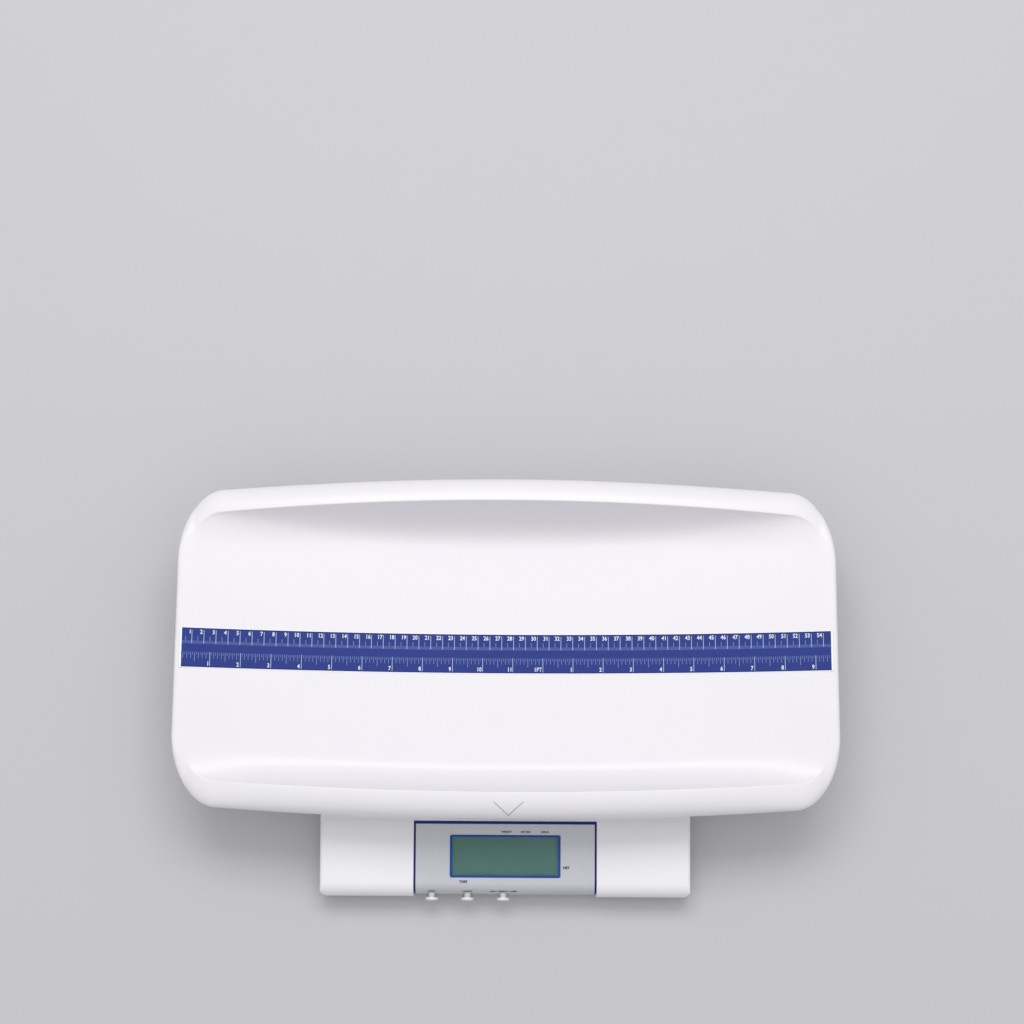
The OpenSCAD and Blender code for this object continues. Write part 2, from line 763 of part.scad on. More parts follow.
module display_fascia() {
    color([0.74, 0.76, 0.8])
        difference() {
            fascia_shell(fascia_x - trim_w, slip / 2 + trim_back);
            window_hole(slip / 2);
            for (x = buttons_x)
                button_bar(x, [console_front_y - over, front_wall_y], stem_hole_d);
        }
}

module fascia_trim() {
    color([0.08, 0.16, 0.5])
        difference() {
            fascia_shell(fascia_x, slip / 2);
            block([-fascia_x + trim_w, fascia_x - trim_w],
                  [console_front_y - over, fascia_back_y - slip / 2 - trim_back],
                  [0, deck_z + over]);
        }
}

module window_frame() {
    color([0.08, 0.26, 0.6])
        on_face()
            translate([0, -window_back, -fascia_recess - frame_t])
                linear_extrude(frame_t + slip)
                    difference() {
                        rounded_area([-window_w / 2, window_w / 2], [-window_h / 2, window_h / 2], frame_w);
                        square([window_w - 2 * frame_w, window_h - 2 * frame_w], center = true);
                    }
}

module display_window() {
    color([0.6, 0.68, 0.66, 0.5])
        on_face()
            translate([0, -window_back, -pocket_floor])
                linear_extrude(fascia_t - frame_t)
                    rounded_area([-window_w / 2, window_w / 2], [-window_h / 2, window_h / 2], frame_w);
}

module lcd_glass() {
    color([0.33, 0.46, 0.43])
        on_face()
            block([-glass_w / 2, glass_w / 2], [-window_back - glass_h / 2, -window_back + glass_h / 2],
                  [-pocket_floor - slip - glass_t, -pocket_floor - slip]);
}

// The rim of the holder round the glass, at the sides and along the front and back, and the ledge that it lies on.
carrier_rim = [3, 2];
carrier_ledge = 3;
carrier_w = glass_w + 2 * carrier_rim.x;
carrier_d = glass_h + 2 * carrier_rim.y;
module lcd_carrier() {
    color([0.9, 0.9, 0.88])
        on_face()
            difference() {
                block([-carrier_w / 2, carrier_w / 2], [-window_back - carrier_d / 2, -window_back + carrier_d / 2],
                      [-board_under, -pocket_under]);
                block([-glass_w / 2 - slip, glass_w / 2 + slip],
                      [-window_back - glass_h / 2 - slip, -window_back + glass_h / 2 + slip],
                      [-pocket_floor - slip - glass_t, 0]);
                block([-glass_w / 2 + carrier_ledge, glass_w / 2 - carrier_ledge],
                      [-window_back - glass_h / 2 + carrier_ledge, -window_back + glass_h / 2 - carrier_ledge],
                      [-board_under - over, 0]);
            }
}

// Controller, amplifier and crystal on the board's underside: width, depth and height.
chips = [[[-9, 5], [-7, 7], 1.6], [[14, 20], [-4, 2], 1.4], [[-22, -12], [8, 12], 3]];
// The plugs on the board's underside, and the point of the face's own frame where each one's lead comes in.
plug_h = 4.5;
cell_plug = [[-46, -34], [4, 10]];
power_plug = [[14, 22], [9, 15]];
function mean(v) = (v[0] + v[1]) / 2;
function plug_entry(plug, out) =
    face_point(mean(plug.x), plug.y[1] - window_back + out, -board_under - board_t - plug_h / 2);

module main_board() {
    color([0.1, 0.4, 0.22])
        on_face() translate([0, -window_back, 0]) {
            low = -board_under - board_t;
            difference() {
                block([-board_w / 2, board_w / 2], [-board_d / 2, board_d / 2], [low, -board_under]);
                at_corners(board_boss_x, board_boss_y) bar(board_screw_d + 2 * slip, low - over, over);
            }
            for (chip = chips)
                block(chip.x, chip.y, [low - chip.z, low]);
            for (plug = [cell_plug, power_plug])
                block(plug.x, plug.y, [low - plug_h, low]);
        }
}

board_screw_head = [4, 1.4];
module board_screws() {
    color([0.7, 0.7, 0.72])
        at_board_screws()
            screw_up(board_screw_d, -board_under - board_t, board_t + carrier_h - slip, board_screw_head.x,
                     board_screw_head.y);
}

buzzer_d = 12;
buzzer_h = 5.5;
buzzer_hole_d = 2;
buzzer_x = board_boss_x - 16;
module buzzer() {
    low = -board_under - board_t - buzzer_h;
    color([0.1, 0.1, 0.1])
        on_face()
            translate([buzzer_x, -window_back, 0])
                difference() {
                    bar(buzzer_d, low, low + buzzer_h);
                    bar(buzzer_hole_d, low - over, low + 1);
                }
}

// ---------------------------------------------------------------- buttons and their switches

front_wall_y = console_front_y + pocket_under;
flange_t = 1.5;
flange_d = stem_d + 2.4;
stem_hole_d = stem_d + 2 * bore_gap + slip;
plunger_end_y = front_wall_y + flange_t;
switch_tip_y = plunger_end_y + button_travel + bore_gap;
switch_tip_l = 1.4;
switch_tip_d = 3.4;
switch_y = switch_tip_y + switch_tip_l;
switch_depth = 3.5;
switch_half = 3;
button_board_y = switch_y + switch_depth;
button_board_up = 3.5;

// A round bar along the depth, between two places, at the height of the buttons.
module button_bar(x, y, d) {
    translate([x, y[0], button_z])
        rotate([-90, 0, 0]) cylinder(d = d, h = y[1] - y[0]);
}

// The radius of a cap's slightly domed front. Its rounded edge runs into it without a crease.
dome_r = 20;
module button_cap(x) {
    dome = [0, cap_t - dome_r];
    edge_x = cap_d / 2 - cap_edge;
    edge = [edge_x, dome.y + sqrt(pow(dome_r - cap_edge, 2) - pow(edge_x, 2))];
    meet = acos(edge_x / (dome_r - cap_edge));
    outline = concat([[0, 0], [cap_d / 2, 0]], arc(edge, cap_edge, 0, meet, 8),
                     arc(dome, dome_r, mix(meet, 90, 1 / 6), 90, 5));
    color([0.8, 0.81, 0.83])
        translate([x, console_front_y - button_reach + cap_t, button_z])
            rotate([90, 0, 0])
                rotate_extrude($fn = 64)
                    polygon(outline);
}

module plunger(x) {
    neck_y = console_front_y - button_reach + cap_t;
    color([0.2, 0.2, 0.22])
        union() {
            button_bar(x, [neck_y, plunger_end_y], stem_d);
            button_bar(x, [front_wall_y, plunger_end_y], flange_d);
        }
}

module unit_button() { button_cap(buttons_x[0]); }
module hold_button() { button_cap(buttons_x[1]); }
module power_button() { button_cap(buttons_x[2]); }
module unit_plunger() { plunger(buttons_x[0]); }
module hold_plunger() { plunger(buttons_x[1]); }
module power_plunger() { plunger(buttons_x[2]); }

module key_switches() {
    color([0.15, 0.15, 0.16])
        for (x = buttons_x) {
            block([x - switch_half, x + switch_half], [switch_y, button_board_y],
                  [button_z - switch_half, button_z + switch_half]);
            button_bar(x, [switch_tip_y, switch_y], switch_tip_d);
        }
}

button_board_past = 9;
button_board_x = [buttons_x[0] - button_board_past, buttons_x[2] + button_board_past];
module button_board() {
    color([0.1, 0.4, 0.22])
        block(button_board_x, [button_board_y, button_board_y + board_t], [pan_floor_z, button_z + button_board_up]);
}

// ---------------------------------------------------------------- battery compartment

bay_y = tray_front_y + 38.5;
cell_pitch = battery_d + 0.5;
bay_w = cell_pitch * battery_count + 0.4;
bay_d = battery_l + 5;
box_wall = 1.6;
ledge = 3;
door_x = bay_w / 2 + ledge;
door_half = bay_d / 2 + ledge;
recess_z = pan_z + door_t + slip;
ledge_z = recess_z + 1.8;
battery_z = recess_z + 1 + battery_d / 2;
box_roof_z = battery_z + battery_d / 2 + 0.5;
tongue_len = 6;
key_h = 1;
key_up = 0.8;

module battery_box() {
    color([0.9, 0.9, 0.92])
        difference() {
            block([-bay_w / 2 - box_wall, bay_w / 2 + box_wall],
                  [bay_y - bay_d / 2 - box_wall, bay_y + bay_d / 2 + box_wall], [ledge_z, box_roof_z + box_wall]);
            block([-bay_w / 2, bay_w / 2], [bay_y - bay_d / 2, bay_y + bay_d / 2], [ledge_z - over, box_roof_z]);
        }
}

function battery_x(i) = (i - (battery_count - 1) / 2) * cell_pitch;
nub_l = 1.3;
module batteries() {
    color([0.75, 0.62, 0.3])
        for (i = [0 : battery_count - 1])
            translate([battery_x(i), bay_y, battery_z])
                rotate([i % 2 == 0 ? 90 : -90, 0, 0])
                    translate([0, 0, -battery_l / 2]) {
                        cylinder(d = battery_d, h = battery_l - nub_l);
                        cylinder(d = 5.5, h = battery_l);
                    }
}

contact_t = 0.5;
module battery_contacts() {
    spring_l = bay_d / 2 - battery_l / 2 - contact_t - slip;
    color([0.8, 0.8, 0.78])
        for (i = [0 : battery_count - 1]) for (s = [-1, 1])
            translate([battery_x(i), bay_y + s * (bay_d / 2 - slip), battery_z]) {
                translate([0, -s * contact_t / 2, 0])
                    cube([battery_d - 3, contact_t, battery_d - 3], center = true);
                rotate([s * 90, 0, 0]) translate([0, 0, contact_t]) cylinder(d = 6, h = spring_l);
            }
}

module door_tongues(gap, shift, low_extra, run) {
    for (sx = [-1, 1]) for (y = [bay_y - door_half * 0.6, bay_y + door_half * 0.6])
        block(sx < 0 ? [-door_x - key_h - gap, -door_x + over] : [door_x - over, door_x + key_h + gap],
              [y - tongue_len / 2 - gap - run - shift, y + tongue_len / 2 + gap - shift],
              [pan_z + key_up - gap - low_extra, pan_z + key_up + key_h + gap / 2]);
}

// The ridges for the thumb: their half length, first place, distance, width and depth.
ridge_half = 12;
ridge_from = 6;
ridge_pitch = 3;
ridge_w = 1.4;
ridge_deep = 0.6;
module battery_door() {
    color([0.92, 0.92, 0.94])
        difference() {
            union() {
                block([-door_x, door_x], [bay_y - door_half, bay_y + door_half], [pan_z, pan_z + door_t]);
                intersection() {
                    door_tongues(0, 0, 0, 0);
                    block([-door_x - key_h, door_x + key_h], [bay_y - door_half, bay_y + door_half], [pan_z, recess_z]);
                }
            }
            for (i = [0 : 3]) let (y = bay_y - door_half + ridge_from + ridge_pitch * i)
                block([-ridge_half, ridge_half], [y, y + ridge_w], [pan_z - over, pan_z + ridge_deep]);
        }
}

// Each lead leaves its piece square to it, and enters its plug square to the board's edge.
lead_straight = 5;
battery_lead_d = 2;
battery_lead_low = 3;
module battery_lead() {
    start = [mean(power_plug.x), bay_y - bay_d / 2 - box_wall, box_roof_z - battery_lead_low];
    color([0.75, 0.1, 0.1])
        wire(battery_lead_d, [start, start - [0, lead_straight, 0],
                 plug_entry(power_plug, lead_straight), plug_entry(power_plug, bore_gap)]);
}

// The load cell's lead leaves its end low, runs along the chassis plate, off its edge and past the battery box.
lead_d = 2.4;
lead_off = 6;
lead_up = 2;
module cell_lead() {
    start = [-cell_l / 2, tray_y - lead_off, cell_z + lead_off];
    side_x = start.x - lead_off - lead_up;
    low_z = lower_spacer_z + lead_up;
    color([0.3, 0.3, 0.32])
        wire(lead_d, [start, [side_x, start.y, start.z], [side_x, start.y, low_z],
                      [side_x, tray_y - chassis_y - lead_off, low_z],
                      [mean(cell_plug.x), bay_y - door_half - lead_up * 2, low_z],
                      plug_entry(cell_plug, lead_straight), plug_entry(cell_plug, bore_gap)]);
}

// ---------------------------------------------------------------- bottom pan, feet and screws

// How far the feet stand in from the sides, from the front and from the back.
foot_side = 27;
foot_front = 25;
foot_back = 27;
foot_x = base_w / 2 - foot_side;
foot_ys = [console_front_y + foot_front, base_back_y - foot_back];
foot_seat = 0.8;
peg_d = 6;
peg_h = 2;
module at_feet() {
    for (sx = [-1, 1]) for (y = foot_ys)
        translate([sx * foot_x, y, 0]) children();
}

foot_taper = 1.5;
module rubber_feet() {
    edge = 1.2;
    color([0.12, 0.12, 0.13])
        at_feet()
            rotate_extrude()
                union() {
                    polygon([[0, 0], [foot_d / 2 - foot_taper - edge, 0], [foot_d / 2 - foot_taper, edge],
                             [foot_d / 2, foot_h], [foot_d / 2, foot_h + foot_seat], [0, foot_h + foot_seat]]);
                    square([peg_d / 2, foot_h + peg_h]);
                }
}

// The housing screws' heads lie this deep in the pan.
screw_sunk = 1.6;
screw_head_d = screw_d + 3;
bear_z = pan_z + screw_sunk + screw_head_h;
module housing_screws() {
    color([0.7, 0.7, 0.72])
        at_housing_screws()
            screw_up(screw_d, bear_z, boss_z + screw_bite - bear_z, screw_head_d, screw_head_h);
}

sound_slot = 1.6;
sound_pitch = 3.4;
buzzer_y = step_y - window_back;
// The pan's foot is set in by this much, the battery door's surround is this wide, and the guides of the button board
// stand this far in from its ends and reach this far past it.
pan_step = 1.2;
surround = 3;
guide_in = 4;
guide_t = 2;
guide_h = 7;
chassis_boss_d = 10;
module bottom_pan() {
    pad_x = door_x + key_h + surround;
    color([0.93, 0.93, 0.95])
        difference() {
            union() {
                difference() {
                    union() {
                        translate([0, 0, pan_z]) linear_extrude(pan_h) base_area(pan_step);
                        translate([0, 0, pan_z + pan_step]) linear_extrude(pan_h - pan_step) base_area(0);
                        translate([0, 0, seam_z - over])
                            linear_extrude(tongue_h + over) base_area(wall + slip);
                    }
                    translate([0, 0, pan_floor_z]) linear_extrude(pan_h) base_area(wall + slip + tongue_t);
                }
                at_housing_screws() bar(boss_d, pan_z + over, boss_z);
                at_chassis_screws() bar(chassis_boss_d, pan_z + over, chassis_z);
                block([-pad_x, pad_x], [bay_y - door_half - door_travel - surround, bay_y + door_half + surround],
                      [pan_z, ledge_z]);
                for (x = [button_board_x[0] + guide_in, button_board_x[1] - guide_in - guide_t])
                    block([x, x + guide_t], [button_board_y - surround, button_board_y + board_t + surround],
                          [pan_z + over, pan_floor_z + guide_h]);
            }
            // The console's middle is set back, and the thick front wall of the cover stands on the pan there.
            block([-pocket_x, pocket_x], [console_front_y - over, console_front_y + fascia_recess], [0, deck_z]);
            block([-pocket_x - 2 * wall, pocket_x + 2 * wall],
                  [console_front_y - over, console_front_y + pocket_under + part_gap], [seam_z, deck_z]);
            block(button_board_x, [button_board_y - bore_gap, button_board_y + board_t + bore_gap],
                  [pan_floor_z, deck_z]);
            at_feet() {
                bar(foot_d + 2 * slip, 0, pan_z + foot_seat);
                bar(peg_d + 2 * bore_gap, 0, pan_z + peg_h + slip);
            }
            at_housing_screws() {
                bar(screw_head_d + 2 * slip, 0, bear_z);
                bar(screw_d + 2 * slip, 0, boss_z + over);
            }
            at_chassis_screws() bar(screw_d + 2 * bore_gap, pan_z + over, chassis_z + over);
            block([-door_x - part_gap, door_x + part_gap],
                  [bay_y - door_half - door_travel - part_gap, bay_y + door_half + part_gap], [0, recess_z]);
            block([-bay_w / 2, bay_w / 2], [bay_y - bay_d / 2, bay_y + bay_d / 2], [0, ledge_z + over]);
            door_tongues(part_gap, 0, 0, door_travel);
            door_tongues(part_gap, door_travel, pan_z, 0);
            // Slots that let the buzzer be heard.
            for (i = [-1 : 1])
                block([buzzer_x - buzzer_d / 2, buzzer_x + buzzer_d / 2],
                      [buzzer_y + i * sound_pitch - sound_slot / 2, buzzer_y + i * sound_pitch + sound_slot / 2],
                      [0, pan_floor_z + over]);
        }
}

tray();
measuring_tape();
locating_cups();
top_cover();
bottom_pan();
rubber_feet();
housing_screws();
display_fascia();
fascia_trim();
window_frame();
display_window();
lcd_glass();
lcd_carrier();
main_board();
board_screws();
buzzer();
button_board();
key_switches();
unit_button();
unit_plunger();
hold_button();
hold_plunger();
power_button();
power_plunger();
chassis_plate();
chassis_screws();
lower_spacer();
cell_screws();
load_cell();
strain_gauges();
overload_stops();
cell_lead();
upper_spacer();
load_spider();
spider_screws();
support_posts();
post_screws();
post_pads();
battery_box();
batteries();
battery_contacts();
battery_lead();
battery_door();
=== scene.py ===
"""Finishes, printing and studio of a digital baby weighing scale.

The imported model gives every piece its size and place. This script moulds the bowed tray, prints its
measuring tape and the console's legends, rounds the edges of the housings, gives every piece its
finish and sets up a plain studio. Lengths are in metres.
"""

from __future__ import annotations

import json
import logging
import math
from dataclasses import dataclass
from enum import Enum
from functools import cache
from typing import Iterable, Union

import bmesh
import bpy
from mathutils import Matrix, Vector
from mathutils.bvhtree import BVHTree

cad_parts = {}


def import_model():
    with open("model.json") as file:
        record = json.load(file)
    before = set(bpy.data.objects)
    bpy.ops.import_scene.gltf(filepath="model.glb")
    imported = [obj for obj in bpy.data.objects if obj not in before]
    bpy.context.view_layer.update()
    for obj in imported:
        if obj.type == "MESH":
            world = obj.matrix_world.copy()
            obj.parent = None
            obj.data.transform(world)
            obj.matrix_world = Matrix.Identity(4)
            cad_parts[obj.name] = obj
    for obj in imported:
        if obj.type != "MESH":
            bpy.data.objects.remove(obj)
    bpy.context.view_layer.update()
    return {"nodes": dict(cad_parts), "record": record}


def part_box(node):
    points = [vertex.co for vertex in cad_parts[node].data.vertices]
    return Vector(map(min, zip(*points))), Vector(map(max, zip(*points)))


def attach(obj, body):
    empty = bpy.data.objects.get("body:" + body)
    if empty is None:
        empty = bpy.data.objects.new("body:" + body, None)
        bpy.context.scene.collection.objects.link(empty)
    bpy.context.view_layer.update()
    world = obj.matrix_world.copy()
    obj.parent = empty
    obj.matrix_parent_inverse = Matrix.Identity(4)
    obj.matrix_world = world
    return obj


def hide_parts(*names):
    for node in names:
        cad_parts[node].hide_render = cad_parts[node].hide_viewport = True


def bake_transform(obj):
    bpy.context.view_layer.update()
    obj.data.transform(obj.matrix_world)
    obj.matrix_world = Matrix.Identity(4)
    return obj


LOG = logging.getLogger("baby_scale")
MM = 0.001
CM = 0.01
INCH = 0.0254

# The shared surfaces. Brushed lines run along X, and the broad drift is a few centimetres wide.
BRUSH_STRETCH = 40.0
BROAD_SCALE = 28.0
PLASTIC_IOR = 1.49
COAT_ROUGHNESS = 0.2

Colour = tuple[float, float, float]
Value = Union["Term", float]


# ---------------------------------------------------------------- node trees


class Term:
    """A value in a node tree. Arithmetic on it adds Math nodes to the tree."""

    def __init__(self, tree: bpy.types.NodeTree, socket: bpy.types.NodeSocket) -> None:
        """Keeps the socket that carries the value.

        Args:
            tree: The tree that the socket's node stands in.
            socket: The output that carries the value.
        """
        self.tree = tree
        self.socket = socket

    def math(self, operation: str, *values: Value) -> Term:
        """Adds one Math node.

        Args:
            operation: Its operation, as Blender names it.
            values: Its inputs, in order.

        Returns:
            The node's result.
        """
        node = self.tree.nodes.new("ShaderNodeMath")
        node.operation = operation
        for slot, value in zip(node.inputs, values):
            if isinstance(value, Term):
                self.tree.links.new(value.socket, slot)
            else:
                slot.default_value = value
        return Term(self.tree, node.outputs[0])

    def __add__(self, other: Value) -> Term:
        """The sum."""
        return self.math("ADD", self, other)

    def __radd__(self, other: float) -> Term:
        """The sum."""
        return self.math("ADD", other, self)

    def __sub__(self, other: Value) -> Term:
        """The difference."""
        return self.math("SUBTRACT", self, other)

    def __rsub__(self, other: float) -> Term:
        """The difference from a number."""
        return self.math("SUBTRACT", other, self)

    def __mul__(self, other: Value) -> Term:
        """The product."""
        return self.math("MULTIPLY", self, other)

    def __rmul__(self, other: float) -> Term:
        """The product."""
        return self.math("MULTIPLY", other, self)

    def __truediv__(self, other: Value) -> Term:
        """The quotient."""
        return self.math("DIVIDE", self, other)

    def __rtruediv__(self, other: float) -> Term:
        """The quotient of a number and this."""
        return self.math("DIVIDE", other, self)

    def __pow__(self, other: float) -> Term:
        """The power."""
        return self.math("POWER", self, other)

    def __abs__(self) -> Term:
        """The size without its sign."""
        return self.math("ABSOLUTE", self)

    def low(self, other: Value) -> Term:
        """The smaller of the two."""
        return self.math("MINIMUM", self, other)

    def high(self, other: Value) -> Term:
        """The larger of the two."""
        return self.math("MAXIMUM", self, other)

    def share(self) -> Term:
        """The value, kept from 0 to 1."""
        return self.high(0.0).low(1.0)

    def sine(self) -> Term:
        """The sine of an angle in radians."""
        return self.math("SINE", self)

    def cosine(self) -> Term:
        """The cosine of an angle in radians."""
        return self.math("COSINE", self)

    def root(self) -> Term:
        """The square root."""
        return self.math("SQRT", self)

    def sign(self) -> Term:
        """1, 0 or -1."""
        return self.math("SIGN", self)

    def over(self, other: Value) -> Term:
        """1 where the value is above the other, and 0 elsewhere."""
        return self.math("GREATER_THAN", self, other)

    def to(self, end: Value, share: Term) -> Term:
        """Goes from this value to another.

        Args:
            end: The value at a share of 1.
            share: How far to go, from 0 to 1.

        Returns:
            The value between the two.
        """
        return self + (end - self) * share


class Graph:
    """Short calls that build a node tree."""

    def __init__(self, tree: bpy.types.NodeTree) -> None:
        """Works on a tree that exists.

        Args:
            tree: The tree to add nodes to.
        """
        self.tree = tree
        self.sizes: dict[str, Term] = {}
        self.entry: bpy.types.Node | None = None

    @classmethod
    def group(
        cls, name: str, kind: str, inputs: dict[str, tuple], outputs: dict[str, str]
    ) -> Graph:
        """Starts a node group with named inputs and outputs.

        Args:
            name: The group's name.
            kind: The tree's Blender type.
            inputs: For each input, its socket type and default value.
            outputs: For each output, its socket type.

        Returns:
            The graph of the new group, whose sizes hold the inputs by name.
        """
        tree = bpy.data.node_groups.new(name, kind)
        for label, (socket_type, default) in inputs.items():
            socket = tree.interface.new_socket(label, in_out="INPUT", socket_type=socket_type)
            if default is not None:
                socket.default_value = default
        for label, socket_type in outputs.items():
            tree.interface.new_socket(label, in_out="OUTPUT", socket_type=socket_type)
        graph = cls(tree)
        graph.entry = tree.nodes.new("NodeGroupInput")
        graph.sizes = {label: Term(tree, graph.entry.outputs[label]) for label in inputs}
        return graph

    def node(self, kind: str, inputs: dict | None = None, **settings: object) -> bpy.types.Node:
        """Adds a node.

        Args:
            kind: The node's Blender type.
            inputs: Values or links for its inputs, by name or number.
            settings: The node's own properties, set before its inputs.

        Returns:
            The new node.
        """
        node = self.tree.nodes.new(kind)
        for label, setting in settings.items():
            setattr(node, label, setting)
        for label, value in (inputs or {}).items():
            slot = node.inputs[label]
            if isinstance(value, bpy.types.Node):
                self.tree.links.new(value.outputs[0], slot)
            elif isinstance(value, Term):
                self.tree.links.new(value.socket, slot)
            elif isinstance(value, bpy.types.NodeSocket):
                self.tree.links.new(value, slot)
            else:
                slot.default_value = value
        return node

    def term(self, node: bpy.types.Node, output: str | int = 0) -> Term:
        """A node's output as a value for arithmetic.

        Args:
            node: The node.
            output: The output's name or number.

        Returns:
            The value.
        """
        return Term(self.tree, node.outputs[output])

    def parts(self, vector: bpy.types.Node | Term) -> tuple[Term, Term, Term]:
        """Splits a vector.

        Args:
            vector: The node or value that gives it.

        Returns:
            Its three parts.
        """
        split = self.node("ShaderNodeSeparateXYZ", {0: vector})
        return self.term(split, 0), self.term(split, 1), self.term(split, 2)

    def vector(self, x: Value, y: Value, z: Value) -> bpy.types.Node:
        """A vector from three values."""
        return self.node("ShaderNodeCombineXYZ", {0: x, 1: y, 2: z})

    def finish(self, **outputs: object) -> bpy.types.NodeTree:
        """Links the group's outputs.

        Args:
            outputs: The node or value for each output, by name.

        Returns:
            The tree.
        """
        end = self.tree.nodes.new("NodeGroupOutput")
        for label, value in outputs.items():
            source = value.outputs[0] if isinstance(value, bpy.types.Node) else value
            source = source.socket if isinstance(source, Term) else source
            self.tree.links.new(source, end.inputs[label])
        return self.tree


# ---------------------------------------------------------------- finishes


class Skin(Enum):
    """What a surface shows close up."""

    PEEL = "peel"
    GRAIN = "grain"
    BRUSHED = "brushed"
    PEARL = "pearl"


class SkinGroups:
    """The shader node groups that the finishes share, each built once."""

    def __init__(self) -> None:
        """Starts with none built."""
        self.built: dict[Skin, bpy.types.NodeTree] = {}

    def get(self, skin: Skin) -> bpy.types.NodeTree:
        """The group of a kind of surface.

        Args:
            skin: The kind of surface.

        Returns:
            Its node group.
        """
        if skin not in self.built:
            self.built[skin] = self.build(skin)
        return self.built[skin]

    @staticmethod
    def build(skin: Skin) -> bpy.types.NodeTree:
        """Builds the group of a kind of surface.

        Args:
            skin: The kind of surface.

        Returns:
            A group that turns a colour, a drift, a feature size, a relief and a roughness into the
            colour, roughness and normal of the surface.
        """
        graph = Graph.group(
            f"{skin.value}_skin",
            "ShaderNodeTree",
            {
                "Colour": ("NodeSocketColor", (0.8, 0.8, 0.8, 1.0)),
                "Drift": ("NodeSocketFloat", 0.02),
                "Feature": ("NodeSocketFloat", 0.0005),
                "Relief": ("NodeSocketFloat", 0.00002),
                "Roughness": ("NodeSocketFloat", 0.4),
            },
            {
                "Colour": "NodeSocketColor",
                "Roughness": "NodeSocketFloat",
                "Normal": "NodeSocketVector",
            },
        )
        size = graph.sizes
        place = graph.term(graph.node("ShaderNodeTexCoord"), "Object")
        brushed = skin is Skin.BRUSHED
        stretch = (1.0, BRUSH_STRETCH, BRUSH_STRETCH) if brushed else (1.0, 1.0, 1.0)
        grid = graph.node("ShaderNodeMapping", {"Vector": place, "Scale": stretch})
        density = (1.0 / BRUSH_STRETCH if brushed else 1.0) / size["Feature"]
        detail = 4.0 if skin is Skin.GRAIN else 1.5
        noise = "ShaderNodeTexNoise"
        fine = graph.node(noise, {"Vector": grid, "Scale": density, "Detail": detail})
        broad = graph.node(noise, {"Vector": place, "Scale": BROAD_SCALE, "Detail": 3.0})
        cloud = graph.term(broad, "Fac") - 0.5
        speck, strength = graph.term(fine, "Fac") - 0.5, 0.5
        if skin is Skin.PEARL:
            flakes = graph.node(
                "ShaderNodeTexVoronoi", {"Vector": place, "Scale": 1.0 / size["Feature"]}
            )
            speck, strength = graph.parts(graph.term(flakes, "Color"))[0] - 0.5, 1.6
        brightness = (cloud + speck * strength) * size["Drift"] * 2.0 + 1.0
        tint = graph.node(
            "ShaderNodeMix",
            {"Factor": 1.0, 6: size["Colour"], 7: graph.vector(brightness, brightness, brightness)},
            data_type="RGBA",
            blend_type="MULTIPLY",
        )
        rough = (size["Roughness"] * (1.0 + cloud * 0.35 + speck * 0.25)).share()
        bump = graph.node(
            "ShaderNodeBump",
            {"Strength": 1.0, "Distance": size["Relief"], "Height": graph.term(fine, "Fac")},
        )
        return graph.finish(Colour=tint.outputs[2], Roughness=rough, Normal=bump)


SKINS = SkinGroups()


@dataclass(frozen=True)
class Finish:
    """The finish of a material.

    Attributes:
        name: The material's name.
        colour: Its base colour, as linear values.
        roughness: Its mean roughness.
        skin: What its surface shows close up.
        feature: The size of the close-up features.
        relief: Their height.
        drift: How far the colour varies.
        metallic: 1 for bare metal.
        coat: Weight of a clear coat.
        shine: Strength of the plain reflection, 0.5 for plastic.
        clear: 1 for a clear piece.
        cover: Share of the surface that is seen at all.
    """

    name: str
    colour: Colour
    roughness: float = 0.4
    skin: Skin = Skin.GRAIN
    feature: float = 0.6 * MM
    relief: float = 0.01 * MM
    drift: float = 0.03
    metallic: float = 0.0
    coat: float = 0.0
    shine: float = 0.5
    clear: float = 0.0
    cover: float = 1.0

    @cache
    def material(self) -> bpy.types.Material:
        """The finish's material, which is built once.

        Returns:
            The material.
        """
        material = bpy.data.materials.new(f"{self.name}_finish")
        material.use_nodes = True
        tree = material.node_tree
        tree.nodes.clear()
        graph = Graph(tree)
        skin = graph.node("ShaderNodeGroup", node_tree=SKINS.get(self.skin))
        self.set_skin(skin)
        shader = graph.node(
            "ShaderNodeBsdfPrincipled",
            {
                "Base Color": self.base_colour(graph, skin),
                "Roughness": skin.outputs["Roughness"],
                "Normal": skin.outputs["Normal"],
                "Metallic": self.metallic,
                "Coat Weight": self.coat,
                "Coat Roughness": COAT_ROUGHNESS,
                "Specular IOR Level": self.shine,
                "Transmission Weight": self.clear,
                "Alpha": self.cover,
                "IOR": PLASTIC_IOR,
            },
        )
        graph.node("ShaderNodeOutputMaterial", {"Surface": shader})
        material.diffuse_color = (*self.colour, 1.0)
        return material

    def set_skin(self, skin: bpy.types.Node) -> None:
        """Gives the shared group this finish's values.

        Args:
            skin: The group node.
        """
        values = {
            "Colour": (*self.colour, 1.0),
            "Drift": self.drift,
            "Feature": self.feature,
            "Relief": self.relief,
            "Roughness": self.roughness,
        }
        for label, value in values.items():
            skin.inputs[label].default_value = value

    def base_colour(self, graph: Graph, skin: bpy.types.Node) -> bpy.types.NodeSocket:
        """The colour that goes to the shader.

        Args:
            graph: The material's graph.
            skin: The shared group's node.

        Returns:
            The socket that gives the colour.
        """
        return skin.outputs["Colour"]


